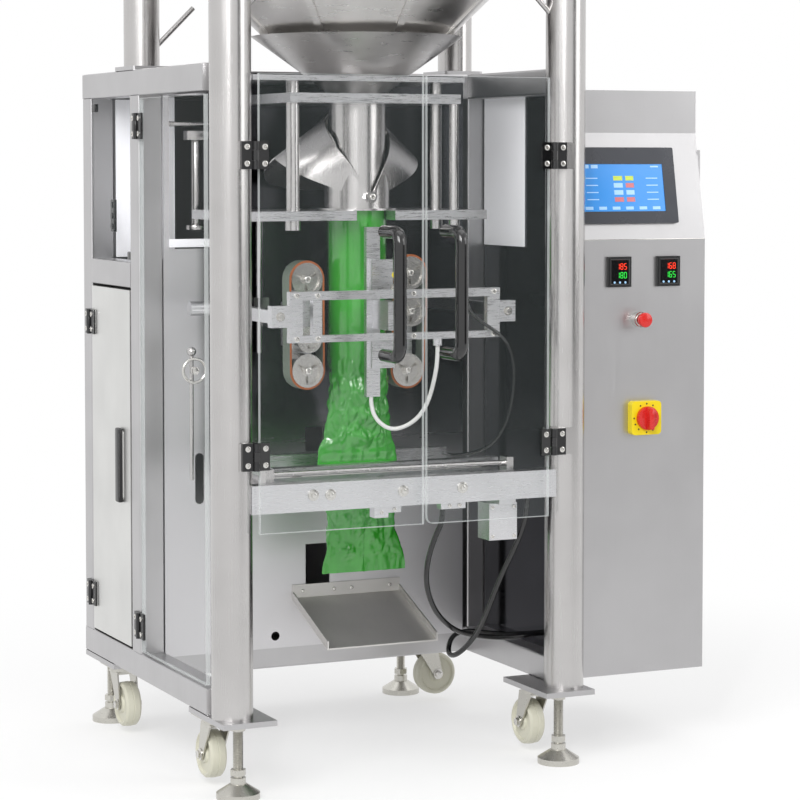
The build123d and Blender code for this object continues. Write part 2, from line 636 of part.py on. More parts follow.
# Vertical sealer: a heated strip along the film's front seam, with its three clamping blocks
strip_x = (tube_x - 13, tube_x + 11)
strip_y = (tube_y - film_r - 29, tube_y - film_r - 4)
with BuildPart() as vertical_sealer:
    block((tube_x - 18, tube_x + 10), (strip_y[0], strip_y[0] + 12), (708, 1030))
    block((tube_x - 8, tube_x + 2), (strip_y[0] + 12, strip_y[1]), (716, 1022))
    for x_high, y_low, z in ((tube_x + 30, strip_y[0] - 14, (908, 969)), (tube_x + 34, strip_y[0] - 14, (763, 815))):
        block((tube_x - 13, x_high), (y_low, strip_y[0]), z)
    block((tube_x - 5, tube_x + 21), (bar_y + bar_t, strip_y[0]), (838, 892))
write(vertical_sealer.part, "vertical_sealer")

# Guides for the jaws: two long rods back to the panel, and a thin cross rod held above the beam
rod_spread = 190.0
long_rod_z = 543.0
cross_rod_z = 581.0
beam_back_y = front_axis_y + 10
with BuildPart() as jaw_rods:
    for x in (tube_x - rod_spread, tube_x + rod_spread):
        round_bar((x, beam_back_y, long_rod_z), (x, panel_y - sheet, long_rod_z), 10)
    for x in ((tube_x - 270, tube_x - 254), (tube_x + 222, tube_x + 236)):
        block(x, (beam_back_y, beam_back_y + 30), (555, 594))
    round_bar((tube_x - 254, front_axis_y + 28, cross_rod_z), (tube_x + 222, front_axis_y + 28, cross_rod_z), 6)
write(jaw_rods.part, "jaw_rods")

# Jaws that seal across: a bar on two bearing blocks, with a serrated face towards the film
jaw_half = 232.0
jaw_face_half = 160.0
teeth = 5
tooth_pitch = 4.0
with BuildPart() as sealing_jaws:
    for y, way, z in ((front_axis_y + 66, 1, (560, 588)), (front_axis_y + 320, -1, (558, 585))):
        block((tube_x - jaw_half, tube_x + jaw_half), (y, y + way * 26), z)
        block((tube_x - jaw_face_half, tube_x + jaw_face_half), (y + way * 26, y + way * 38), (z[0], z[1] - 4))
        for tooth in range(teeth):
            groove_z = z[0] + 4 + tooth * tooth_pitch
            block((tube_x - jaw_face_half, tube_x + jaw_face_half), (y + way * 36, y + way * 38),
                  (groove_z, groove_z + tooth_pitch / 2), mode=Mode.SUBTRACT)
        for x in (tube_x - rod_spread, tube_x + rod_spread):
            block((x - 20, x + 20), (y, y + way * 26), (526, z[0]))
            round_bar((x, y - 40, long_rod_z), (x, y + 40, long_rod_z), 10.05, mode=Mode.SUBTRACT)
write(sealing_jaws.part, "sealing_jaws")

# Tray that the bags slide down: a flange on the panel, a slope and a lip along each side
tray_x = (tube_x - 62, tube_x + 174)
tray_top_z = 312.0
tray_bend_z = 284.0
tray_front_y = tube_y + 2
tray_front_z = 212.0
tray_t = 3.0
lip_h = 14.0
tray_back_y = panel_y - sheet
with BuildPart() as discharge_tray:
    with BuildSketch(Plane.YZ.offset(tray_x[0])) as tray_side:
        with BuildLine():
            Polyline((tray_back_y, tray_top_z), (tray_back_y - tray_t, tray_top_z), (tray_back_y - tray_t, tray_bend_z + 2),
                     (tray_front_y, tray_front_z + tray_t), (tray_front_y, tray_front_z),
                     (tray_back_y, tray_bend_z - 2), (tray_back_y, tray_top_z))
        make_face()
    extrude(tray_side.sketch, amount=tray_x[1] - tray_x[0])
    for x in (tray_x[0], tray_x[1] - tray_t):
        with BuildSketch(Plane.YZ.offset(x)) as lip:
            with BuildLine():
                Polyline((tray_back_y - tray_t, tray_bend_z - 2), (tray_back_y - tray_t, tray_bend_z + lip_h),
                         (tray_front_y, tray_front_z + tray_t + lip_h), (tray_front_y, tray_front_z),
                         (tray_back_y - tray_t, tray_bend_z - 2))
            make_face()
        extrude(lip.sketch, amount=tray_t)
write(discharge_tray.part, "discharge_tray")

# Control cabinet with its leaning console
cabinet_left = frame_right + cabinet_left_gap
cabinet_right = cabinet_left + cabinet_width
cabinet_front = front_axis_y + cabinet_front_back
cabinet_rear = cabinet_front + cabinet_depth
with BuildPart() as control_cabinet:
    with BuildSketch(Plane.YZ.offset(cabinet_left)) as cabinet_side:
        with BuildLine():
            Polyline((cabinet_front, rail_foot_z), (cabinet_front, console_foot_z),
                     (cabinet_front + console_lean, console_top_z), (cabinet_front + console_lean, cabinet_top_z),
                     (cabinet_rear, cabinet_top_z), (cabinet_rear, rail_foot_z), (cabinet_front, rail_foot_z))
        make_face()
    extrude(cabinet_side.sketch, amount=cabinet_width)
    with BuildSketch(Plane.YZ.offset(cabinet_left + 2)) as cabinet_hollow:
        offset(cabinet_side.sketch_local, amount=-2)
    extrude(cabinet_hollow.sketch, amount=cabinet_width - 4, mode=Mode.SUBTRACT)
    block((cabinet_right - 2, cabinet_right + 6), (cabinet_front + 30, cabinet_rear - 30), (rail_foot_z + 20, 1177))
write(control_cabinet.part, "control_cabinet")

console_plane = Plane(origin=(cabinet_left + 126, cabinet_front + console_lean / 2, (console_top_z + console_foot_z) / 2),
                      x_dir=(1, 0, 0), z_dir=(0, -(console_top_z - console_foot_z), console_lean))
with BuildPart() as touch_screen:
    with BuildSketch(console_plane) as bezel:
        RectangleRounded(226, 150, 3)
    extrude(bezel.sketch, amount=8)
    with BuildSketch(console_plane.offset(8)) as glass:
        with Locations((-7, -6)):
            Rectangle(186, 96)
    extrude(glass.sketch, amount=-1.5, mode=Mode.SUBTRACT)
write(touch_screen.part, "touch_screen")

with BuildPart() as temperature_controllers:
    for x in (cabinet_left + 104, cabinet_left + 214):
        block((x - 26, x + 26), (cabinet_front - 6, cabinet_front), (910, 969))
write(temperature_controllers.part, "temperature_controllers")

button_x = cabinet_left + 148
button_z = 846.0
with BuildPart() as button_ring:
    with BuildSketch(Plane.XZ.offset(-cabinet_front)) as ring:
        with Locations((button_x, button_z)):
            Circle(15)
            Circle(9, mode=Mode.SUBTRACT)
    extrude(ring.sketch, amount=14)
write(button_ring.part, "button_ring")

with BuildPart() as stop_button:
    round_bar((button_x, cabinet_front - 5, button_z), (button_x, cabinet_front - 22, button_z), 8.5)
    round_bar((button_x, cabinet_front - 22, button_z), (button_x, cabinet_front - 34, button_z), 19)
write(stop_button.part, "stop_button")

isolator_x = cabinet_left + 160
isolator_z = 653.0
with BuildPart() as isolator_plate:
    with BuildSketch(Plane.XZ.offset(-cabinet_front)) as yellow:
        with Locations((isolator_x, isolator_z)):
            RectangleRounded(66, 66, 8)
    extrude(yellow.sketch, amount=16)
write(isolator_plate.part, "isolator_plate")

with BuildPart() as isolator_knob:
    round_bar((isolator_x, cabinet_front - 16.3, isolator_z), (isolator_x, cabinet_front - 24, isolator_z), 23)
    block((isolator_x - 5, isolator_x + 5), (cabinet_front - 38, cabinet_front - 24), (isolator_z - 21, isolator_z + 21))
write(isolator_knob.part, "isolator_knob")

# Clear doors at the front, with handles and hinge leaves
door_split_x = frame_left + 406
left_door_x = (left_hinge_x + 9, door_split_x - door_gap / 2)
right_door_x = (door_split_x + door_gap / 2, right_hinge_x - 8)
for name, span in (("left", left_door_x), ("right", right_door_x)):
    with BuildPart() as door:
        block(span, (door_front_y, door_back_y), (door_foot_z, door_top_z))
        if name == "right":
            fillet(door.edges().filter_by(Axis.Y).group_by(Axis.Z)[0].sort_by(Axis.X)[0], 14)
    write(door.part, name + "_front_door")

left_handle_x = frame_left + 322
right_handle_x = frame_left + 446
for name, x, hinge_x, way in (("left", left_handle_x, left_hinge_x, 1), ("right", right_handle_x, right_hinge_x, -1)):
    with BuildPart() as fittings:
        low, high = handle_foot_z + handle_d / 2, handle_top_z - handle_d / 2
        with BuildLine() as grip:
            FilletPolyline((x, door_front_y, low), (x, door_front_y - handle_reach, low),
                           (x, door_front_y - handle_reach, high), (x, door_front_y, high), radius=handle_bend)
        with BuildSketch(Plane(origin=grip.line @ 0, z_dir=grip.line % 0)) as grip_section:
            Circle(handle_d / 2)
        sweep(grip_section.sketch, path=grip.line)
        for z in hinge_zs:
            block((hinge_x + way * (barrel_r + 1), hinge_x + way * hinge_leaf), (door_front_y - leaf_t, door_front_y),
                  (z - hinge_h / 2, z + hinge_h / 2))
            block((hinge_x, hinge_x + way * (barrel_r + 2)), (door_front_y - leaf_t, door_front_y - 1), (z - 9, z + 9))
            round_bar((hinge_x, hinge_axis_y, z - 9), (hinge_x, hinge_axis_y, z + 9), barrel_r)
    write(fittings.part, name + "_door_fittings")

side_axis_x = frame_left - 6
side_barrel_r = 4.5
side_door_axis_y = panel_y - 4
lower_door_axis_y = rear_y - rail - 2
side_hinges = ((side_door_axis_y, (255.0, 1222.0)), (lower_door_axis_y, (275.0, 830.0)))
with BuildPart() as column_hinge_leaves:
    for hinge_x, way in ((left_hinge_x, -1), (right_hinge_x, 1)):
        for z in hinge_zs:
            block((hinge_x + way * (barrel_r + 1), hinge_x + way * hinge_leaf), (door_front_y - leaf_t, door_front_y),
                  (z - hinge_h / 2, z + hinge_h / 2))
            for low, high in ((z - hinge_h / 2, z - 9.4), (z + 9.4, z + hinge_h / 2)):
                block((hinge_x, hinge_x + way * (barrel_r + 2)), (door_front_y - leaf_t, door_front_y - 1), (low, high))
                round_bar((hinge_x, hinge_axis_y, low), (hinge_x, hinge_axis_y, high), barrel_r)
    for axis_y, zs in side_hinges:
        for z in zs:
            block((frame_left - leaf_t, frame_left), (axis_y + side_barrel_r + 1, axis_y + hinge_leaf),
                  (z - hinge_h / 2, z + hinge_h / 2))
            for low, high in ((z - hinge_h / 2, z - 9.4), (z + 9.4, z + hinge_h / 2)):
                block((frame_left - leaf_t, frame_left - 1), (axis_y, axis_y + side_barrel_r + 2), (low, high))
                round_bar((side_axis_x, axis_y, low), (side_axis_x, axis_y, high), side_barrel_r)
write(column_hinge_leaves.part, "column_hinge_leaves")



def side_leaves(axis_y, zs):
    """The leaves and middle knuckles that a side door carries."""
    for z in zs:
        block((frame_left - leaf_t, frame_left), (axis_y - hinge_leaf, axis_y - side_barrel_r - 1),
              (z - hinge_h / 2, z + hinge_h / 2))
        block((frame_left - leaf_t, frame_left - 1), (axis_y - side_barrel_r - 2, axis_y), (z - 9, z + 9))
        round_bar((side_axis_x, axis_y, z - 9), (side_axis_x, axis_y, z + 9), side_barrel_r)


# Clear door at the left side
side_door_y = (front_axis_y + 33, panel_y - 9)
side_door_z = (rail_top_z + 6, top_rail_z - 6)
with BuildPart() as left_side_door:
    block((frame_left, frame_left + door_t), side_door_y, side_door_z)
    side_leaves(*side_hinges[0])
write(left_side_door.part, "left_side_door")

# Sheet steel door at the left, below the window, with a slim swing handle
lower_door_y = (panel_y + rail + 5, rear_y - rail - 5)
lower_door_z = (rail_top_z + 5, mid_rail_z - 5)
swing_handle_y = front_axis_y + 504
with BuildPart() as lower_left_door:
    block((frame_left, frame_left + 20), lower_door_y, lower_door_z)
    with BuildSketch(Plane.YZ.offset(frame_left)) as swing_handle:
        with Locations((swing_handle_y, 556)):
            SlotOverall(146, 22, rotation=90)
    extrude(swing_handle.sketch, amount=-9)
    side_leaves(*side_hinges[1])
write(lower_left_door.part, "lower_left_door")

# Adjusting shaft with its handwheel and clamp lever, and a round post behind the film drive
shaft_y = front_axis_y + 300
shaft_z = 760.0
wheel_x = frame_left + 69
with BuildPart() as guide_shafts:
    round_bar((frame_left + 38, shaft_y, shaft_z), (frame_right - 119, shaft_y, shaft_z), 8)
    round_bar((frame_left + 38, shaft_y, shaft_z), (frame_left + 48, shaft_y, shaft_z), 11)
    for x in (frame_left + 108, frame_right - 135):
        block((x - 15, x + 15), (shaft_y - 15, panel_y - sheet), (shaft_z - 16, shaft_z + 16))
    round_bar((wheel_x, shaft_y - 24, shaft_z - 3), (wheel_x, shaft_y - 6, shaft_z - 3), 24)
    round_bar((wheel_x - 3, shaft_y - 18, 547), (wheel_x - 3, shaft_y - 18, 790), 4)
    with Locations((wheel_x - 3, shaft_y - 18, 793)):
        Sphere(9)
    post_x = tube_x - 136
    round_bar((post_x, panel_y - 20, 779), (post_x, panel_y - 20, lower_plate_z), 7)
    block((post_x - 16, post_x + 16), (panel_y - 30, panel_y - sheet), (864, 888))
write(guide_shafts.part, "guide_shafts")

# Cables and the hose, each through points chosen by hand, with arcs as large as their runs allow
cable_right_x = frame_right - 12
cords = {
    "cable_left": (5.0, [
        (-62, -321, 505), (-62, -321, 482), (-72, -310, 452), (-79, -293, 408), (-75, -275, 365),
        (-60, -259, 326), (-33, -242, 287), (12, -225, 252), (59, -215, 238), (109, -208, 229),
        (155, -203, 226), (193, -200, 229), (cable_right_x, -200, 229)]),
    "cable_right": (5.0, [
        (117, -320, 518), (117, -320, 494), (115, -308, 458), (103, -292, 412), (84, -280, 366),
        (67, -272, 318), (48, -270, 272), (24, -264, 234), (5, -238, 206), (8, -198, 204),
        (28, -172, 232), (62, -166, 240), (108, -170, 232), (152, -173, 226), (188, -174, 225),
        (cable_right_x, -174, 225)]),
    "sealer_cable": (3.5, [
        (12, -274, 899), (12, -274, 878), (26, -290, 856), (52, -300, 838), (82, -296, 818),
        (108, -276, 788), (126, -250, 752), (138, -224, 712), (143, -200, 670), (138, -178, 628),
        (124, -150, 596), (104, -114, 580), (86, -80, 573), (81, -52, 572), (81, -26, 572)]),
    "white_hose": (4.0, [
        (-150, -190, 708), (-150, -190, 690), (-143, -198, 664), (-120, -208, 645), (-93, -220, 650),
        (-70, -236, 670), (-57, -250, 702), (-52, -264, 742), (-50, -274, 780), (-50, -274, 808)]),
    "window_cable": (4.0, [
        (-488, 150, 1281), (-488, 150, 1240), (-490, 154, 1185), (-486, 162, 1130), (-490, 158, 1070),
        (-487, 149, 1015), (-488, 148, 984), (-488, 148, 958)]),
}
for name, (radius, points) in cords.items():
    corners = [Vector(*point) for point in points]
    runs = [after - before for before, after in zip(corners, corners[1:])]
    radii = [0.45 * min(before.length, after.length) / math.tan(math.radians(before.get_angle(after)) / 2)
             for before, after in zip(runs, runs[1:])]
    with BuildPart() as cord:
        with BuildLine() as route:
            FilletPolyline(*corners, radius=radii)
        with BuildSketch(Plane(origin=route.line @ 0, z_dir=route.line % 0)):
            Circle(radius)
        sweep(path=route.line)
    length = sum(edge.length for edge in route.edges())
    print(name, "length", round(length), "tightest", round(min(radii)), "run", round(max(r.length for r in runs)),
          "volume ratio", round(cord.part.volume / (math.pi * radius ** 2 * length), 3))
    write(cord.part, name)
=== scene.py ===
import math

import bpy
from mathutils import Matrix, Vector, noise


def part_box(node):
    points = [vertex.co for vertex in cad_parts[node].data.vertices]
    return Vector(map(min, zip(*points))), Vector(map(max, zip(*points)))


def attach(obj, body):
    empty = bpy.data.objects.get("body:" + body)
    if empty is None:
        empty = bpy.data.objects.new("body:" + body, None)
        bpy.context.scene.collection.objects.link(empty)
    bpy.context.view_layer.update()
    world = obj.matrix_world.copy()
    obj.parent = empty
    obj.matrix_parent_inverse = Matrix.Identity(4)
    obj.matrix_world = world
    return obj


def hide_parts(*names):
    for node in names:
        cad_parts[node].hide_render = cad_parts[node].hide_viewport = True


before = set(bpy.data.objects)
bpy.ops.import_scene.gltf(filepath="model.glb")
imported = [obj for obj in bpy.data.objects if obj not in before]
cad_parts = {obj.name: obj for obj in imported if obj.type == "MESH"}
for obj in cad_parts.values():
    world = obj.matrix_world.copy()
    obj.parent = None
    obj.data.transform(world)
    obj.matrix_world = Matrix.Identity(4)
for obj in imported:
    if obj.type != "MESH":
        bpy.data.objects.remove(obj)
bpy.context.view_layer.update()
MM = 0.001

# The camera stands where the photographer stood, a little above the machine's middle
CAMERA_PLACE = (-2.133, -4.613, 1.150)
CAMERA_TURN_DEG = -24.8
CAMERA_DIP_DEG = 3.05
CAMERA_LENS = 115.2
CAMERA_SHIFT_UP = -0.125

# Places that several pieces share, in millimetres
TUBE_X, TUBE_Y = -143.5, -110.0
PANEL_FACE_Y = 72.0
CABINET_FRONT_Y = -270.0
DOOR_FRONT_Y = -360.0
LEFT_FACE_X = -522.0
LEFT_HINGE_X, RIGHT_HINGE_X = -453, 150
FRONT_HINGE_ZS = (625.0, 1165.0)
# The side doors' hinges: the pin's place along Y, and the heights of the leaves
SIDE_HINGES = {"left_side_door": (71, (255.0, 1222.0)), "lower_left_door": (368, (275.0, 830.0))}
TOWARDS_FRONT = Vector((0, -1, 0))
TOWARDS_LEFT = Vector((-1, 0, 0))


def add_node(tree, kind, settings=None, values=None, links=None):
    """Adds one shader node with its settings, socket values and incoming links."""
    made = tree.nodes.new(kind)
    for name, value in (settings or {}).items():
        setattr(made, name, value)
    for name, value in (values or {}).items():
        made.inputs[name].default_value = value
    for name, source in (links or {}).items():
        tree.links.new(source, made.inputs[name])
    return made


def linear(hex_colour, alpha=1.0):
    """Turns an sRGB hex colour into linear light."""
    parts = [int(hex_colour[i:i + 2], 16) / 255 for i in (1, 3, 5)]
    return tuple(p / 12.92 if p <= 0.04045 else ((p + 0.055) / 1.055) ** 2.4 for p in parts) + (alpha,)


def start_material(name):
    """Makes an empty material and returns it with its tree."""
    material = bpy.data.materials.new(name)
    material.use_nodes = True
    material.node_tree.nodes.clear()
    return material, material.node_tree


def finish_material(tree, shader):
    add_node(tree, "ShaderNodeOutputMaterial", links={"Surface": shader.outputs[0]})


# How dull a metal is where its second colour takes over
FADED_ROUGHNESS = 0.46


def grained_metal(name, hex_colour, roughness, grain_mm, spread=0.10, bump=0.12, mottle=0.08, fade=None):
    """Metal with a directional grain: grain_mm is the grain's size along X, Y and Z.
    fade is a second, softer colour, and the heights and places across, in metres, where it takes over; the
    front panel and the right wall use it to paint reflections into the colour."""
    material, tree = start_material(name)
    place = add_node(tree, "ShaderNodeTexCoord")
    scale = tuple(1 / (g * MM) for g in grain_mm)
    mapping = add_node(tree, "ShaderNodeMapping", values={"Scale": scale},
                       links={"Vector": place.outputs["Object"]})
    grain = add_node(tree, "ShaderNodeTexNoise", values={"Scale": 1.0, "Detail": 3.0, "Roughness": 0.6},
                     links={"Vector": mapping.outputs[0]})
    clouds = add_node(tree, "ShaderNodeTexNoise", values={"Scale": 9.0, "Detail": 2.0},
                      links={"Vector": place.outputs["Object"]})
    rough = add_node(tree, "ShaderNodeMapRange",
                     values={"From Min": 0.25, "From Max": 0.75, "To Min": roughness - spread / 2,
                             "To Max": roughness + spread / 2},
                     links={"Value": grain.outputs["Fac"]})
    shade = add_node(tree, "ShaderNodeMapRange",
                     values={"From Min": 0.3, "From Max": 0.7, "To Min": 1 - mottle, "To Max": 1.0},
                     links={"Value": clouds.outputs["Fac"]})
    tint = add_node(tree, "ShaderNodeVectorMath", {"operation": "SCALE"}, {0: linear(hex_colour)[:3]},
                    {"Scale": shade.outputs[0]})
    # With a fade, a mask mixes the two colours by place: this paints reflection into the front panel's colour
    # and the dark of the right wall's inner face
    if fade:
        low_hex, low_z, high_z, left_x, right_x = fade
        parts = add_node(tree, "ShaderNodeSeparateXYZ", links={0: place.outputs["Object"]})
        height = add_node(tree, "ShaderNodeMapRange", {"interpolation_type": "SMOOTHSTEP"},
                          {"From Min": low_z, "From Max": high_z}, {"Value": parts.outputs["Z"]})
        across = add_node(tree, "ShaderNodeMapRange", {"interpolation_type": "SMOOTHSTEP"},
                          {"From Min": left_x, "From Max": right_x}, {"Value": parts.outputs["X"]})
        dark = add_node(tree, "ShaderNodeMath", {"operation": "MULTIPLY"},
                        links={0: height.outputs[0], 1: across.outputs[0]})
        mixed = add_node(tree, "ShaderNodeMix", {"data_type": "RGBA"}, {6: linear(low_hex)},
                         {0: dark.outputs[0], 7: tint.outputs[0]})
        soft = add_node(tree, "ShaderNodeMix", {"data_type": "FLOAT"}, {2: FADED_ROUGHNESS},
                        {0: dark.outputs[0], 3: rough.outputs[0]})
        colour, gloss = mixed.outputs[2], soft.outputs[0]
    else:
        colour, gloss = tint.outputs[0], rough.outputs[0]
    raised = add_node(tree, "ShaderNodeBump", values={"Strength": bump, "Distance": 0.1 * MM},
                      links={"Height": grain.outputs["Fac"]})
    shader = add_node(tree, "ShaderNodeBsdfPrincipled", values={"Metallic": 1.0},
                      links={"Base Color": colour, "Roughness": gloss, "Normal": raised.outputs[0]})
    finish_material(tree, shader)
    return material


def plain_gloss(name, hex_colour, roughness, grit_mm, bump=0.05, alpha=1.0, coat=0.0, glow=0.0):
    """Moulded or painted surface with a fine even grit in its gloss."""
    material, tree = start_material(name)
    place = add_node(tree, "ShaderNodeTexCoord")
    grit = add_node(tree, "ShaderNodeTexNoise", values={"Scale": 1 / (grit_mm * MM), "Detail": 2.0},
                    links={"Vector": place.outputs["Object"]})
    rough = add_node(tree, "ShaderNodeMapRange",
                     values={"From Min": 0.3, "From Max": 0.7, "To Min": roughness * 0.85,
                             "To Max": roughness * 1.15},
                     links={"Value": grit.outputs["Fac"]})
    raised = add_node(tree, "ShaderNodeBump", values={"Strength": bump, "Distance": 0.1 * MM},
                      links={"Height": grit.outputs["Fac"]})
    shader = add_node(tree, "ShaderNodeBsdfPrincipled",
                      values={"Base Color": linear(hex_colour), "Alpha": alpha,
                              "Coat Weight": coat, "Emission Color": linear(hex_colour),
                              "Emission Strength": glow},
                      links={"Roughness": rough.outputs[0], "Normal": raised.outputs[0]})
    finish_material(tree, shader)
    return material


def creased_film(name, hex_colour, light_hex):
    """Plastic film: a bright gloss over a colour that pales in patches, with small ripples down it."""
    material, tree = start_material(name)
    place = add_node(tree, "ShaderNodeTexCoord")
    clouds = add_node(tree, "ShaderNodeTexNoise", values={"Scale": 14.0, "Detail": 3.0},
                      links={"Vector": place.outputs["Object"]})
    colour = add_node(tree, "ShaderNodeMix", {"data_type": "RGBA"},
                      {6: linear(hex_colour), 7: linear(light_hex)}, {0: clouds.outputs["Fac"]})
    across, down = 1 / (9 * MM), 1 / (26 * MM)
    stretch = add_node(tree, "ShaderNodeMapping", values={"Scale": (across, across, down)},
                       links={"Vector": place.outputs["Object"]})
    ripple = add_node(tree, "ShaderNodeTexNoise", values={"Scale": 1.0, "Detail": 2.0},
                      links={"Vector": stretch.outputs[0]})
    raised = add_node(tree, "ShaderNodeBump", values={"Strength": 0.35, "Distance": 0.6 * MM},
                      links={"Height": ripple.outputs["Fac"]})
    shader = add_node(tree, "ShaderNodeBsdfPrincipled",
                      values={"Roughness": 0.20, "Coat Weight": 1.0, "Coat Roughness": 0.05},
                      links={"Base Color": colour.outputs[2], "Normal": raised.outputs[0]})
    finish_material(tree, shader)
    return material


# The belts' front edges stand just before this
BELT_EDGE_Y = -127.6


def draw_belt(name, face_hex, edge_hex):
    """Moulded belt: a grey-green grip face, and the brown core showing at the front edge."""
    material, tree = start_material(name)
    place = add_node(tree, "ShaderNodeTexCoord")
    parts = add_node(tree, "ShaderNodeSeparateXYZ", links={0: place.outputs["Object"]})
    edge = add_node(tree, "ShaderNodeMath", {"operation": "LESS_THAN"}, {1: BELT_EDGE_Y * MM},
                    {0: parts.outputs["Y"]})
    grit = add_node(tree, "ShaderNodeTexNoise", values={"Scale": 1 / (2.5 * MM), "Detail": 2.0},
                    links={"Vector": place.outputs["Object"]})
    colour = add_node(tree, "ShaderNodeMix", {"data_type": "RGBA"},
                      {6: linear(face_hex), 7: linear(edge_hex)}, {0: edge.outputs[0]})
    raised = add_node(tree, "ShaderNodeBump", values={"Strength": 0.3, "Distance": 0.2 * MM},
                      links={"Height": grit.outputs["Fac"]})
    shader = add_node(tree, "ShaderNodeBsdfPrincipled", values={"Roughness": 0.5},
                      links={"Base Color": colour.outputs[2], "Normal": raised.outputs[0]})
    finish_material(tree, shader)
    return material


FINISH = {
    # Drawn stainless tube, bright polished: soft upright bands with a grain too fine to see, drawn coarser
    "tube_steel": grained_metal("polished_stainless_tube", "#C4C2C1", 0.25, (3, 3, 90), spread=0.08,
                                bump=0.03),
    # Brushed stainless sheet: an upright grain, so highlights stretch along Z and stay soft
    "brushed_steel": grained_metal("brushed_stainless_sheet", "#BEBDBE", 0.34, (2, 2, 120), bump=0.06),
    # The control cabinet's sheet, brushed finer and duller than the frame, with an even tone
    "cabinet_steel": grained_metal("brushed_cabinet_sheet", "#BCBBBC", 0.38, (1.6, 1.6, 160), bump=0.05,
                                   mottle=0.05),
    # Bright rolled stainless with painted reflections: a dark colour above is a painted reflection of the dark
    # room, and a pale colour at its foot and its left edge, where it is also duller, is a painted bright
    # reflection
    "panel_with_painted_reflection": grained_metal("painted_reflection_stainless_panel", "#4A4A4E", 0.14, (60, 60, 5), bump=0.02,
                                 mottle=0.35, fade=("#D6D5D7", 0.50, 0.68, -0.41, -0.37)),
    # The same sheet on the right wall: its inner face has a dark colour that is a painted reflection of the
    # dark room, its outer face is brushed
    "wall_with_painted_dark_reflection": grained_metal("wall_sheet_painted_dark_reflection", "#2A2A30", 0.12, (60, 60, 4), bump=0.02, mottle=0.2,
                                 fade=("#BEBDBE", -1.0, -0.9, 0.2258, 0.2234)),
    # Pale powder coat on the linings inside: nearly white, with a painted glow for the light that comes
    # through the windows
    "pale_sheet": plain_gloss("pale_lining_painted_glow", "#F2F2F5", 0.45, 6, 0.05, glow=0.18),
    # The lower side door's skin, a shade lighter than the frame round it
    "door_steel": grained_metal("brushed_door_sheet", "#DADAD8", 0.40, (2, 2, 120), bump=0.05),
    # Milled aluminium: cutter marks across it that catch the light unevenly, drawn coarse so they show
    "milled_aluminium": grained_metal("milled_aluminium", "#DCDCDE", 0.30, (30, 1.5, 1.5), spread=0.16,
                                      bump=0.06),
    # Turned aluminium: bright and even, with a fine grain all round
    "turned_aluminium": grained_metal("turned_aluminium", "#D0CECA", 0.25, (2, 2, 2), bump=0.04),
    # Bright zinc plate: a slightly warm, blurred shine
    "zinc": grained_metal("zinc_plated_steel", "#C9C7C0", 0.30, (4, 4, 4), bump=0.05),
    # Polished stainless bolts: small sharp highlights
    "bolt_steel": grained_metal("bright_bolt_steel", "#D6D4D0", 0.22, (3, 3, 3), bump=0.03),
    # Spun stainless: rings of grain round the cone, with cloudy patches
    "funnel_steel": grained_metal("spun_stainless_funnel", "#DCDAD8", 0.30, (60, 60, 6), bump=0.03,
                                  mottle=0.15),
    # Satin sheet worn dull by bags: a soft shine drawn out along the slide
    "tray_steel": grained_metal("satin_tray_sheet", "#DAD8D5", 0.50, (3, 80, 3), bump=0.04),
    # Moulded black ABS: a fine grit and a thin sheen
    "black_abs": plain_gloss("black_moulded_abs", "#121214", 0.34, 1.2, 0.12, coat=0.2),
    # Baked black enamel: deep gloss with clear highlights
    "gloss_black": plain_gloss("black_enamelled_tube", "#0A0A0C", 0.16, 4, 0.03, coat=0.6),
    # Extruded cable jacket: black with a wet looking line of light
    "cable_rubber": plain_gloss("black_cable_jacket", "#050506", 0.24, 2, 0.08, coat=0.5),
    # Extruded nylon hose: white and smooth
    "hose_nylon": plain_gloss("white_nylon_hose", "#E6E6E4", 0.30, 3, 0.05),
    # Cast acrylic: nearly unseen but for its reflections
    "acrylic": plain_gloss("clear_acrylic_sheet", "#C4D0D0", 0.03, 40, 0.0, alpha=0.022),
    # The sawn edge of acrylic is frosted pale, and its glow is painted light that the edge gathers, so it
    # shows as a pale line
    "acrylic_edge": plain_gloss("sawn_acrylic_rim_painted_glow", "#E4E8E8", 0.30, 4, 0.1, alpha=0.34, glow=0.06),
    # Cream moulded nylon: a soft dull gloss
    "nylon": plain_gloss("cream_moulded_nylon", "#DAD8C6", 0.40, 3, 0.08),
    # Moulded belt: grey-green grip faces with a brown core at the edge
    "belt_rubber": draw_belt("grey_green_belt", "#7E8A7C", "#B4622E"),
    # Moulded switch plastic: strong even colours with a clean shine
    "red_plastic": plain_gloss("red_moulded_plastic", "#D8221C", 0.28, 2, 0.05, coat=0.3),
    "yellow_plastic": plain_gloss("yellow_moulded_plastic", "#F4DC00", 0.36, 2, 0.05),
    # Laminated packaging film: a bright green with sharp highlights on its folds
    "green_film": creased_film("green_packaging_film", "#1E8A18", "#48BE3A"),
    # Black glass round the display, softly reflecting
    "screen_bezel": plain_gloss("black_glass_bezel", "#2C2F38", 0.30, 30, 0.0),
    # Lit display: flat colours that glow a little, under smooth glass
    "screen_blue": plain_gloss("lit_screen_blue", "#3186D2", 0.12, 30, 0.0, glow=0.35),
    "screen_pale": plain_gloss("lit_screen_pale", "#9CC4E8", 0.12, 30, 0.0, glow=0.35),
    "screen_green": plain_gloss("lit_screen_green", "#B4C848", 0.12, 30, 0.0, glow=0.35),
    "screen_red": plain_gloss("lit_screen_red", "#C06A6E", 0.12, 30, 0.0, glow=0.35),
    # LED digits: small and fully lit
    "digit_red": plain_gloss("red_led_digit", "#F03418", 0.3, 10, 0.0, glow=1.0),
    "digit_green": plain_gloss("green_led_digit", "#22C43A", 0.3, 10, 0.0, glow=1.0),
}

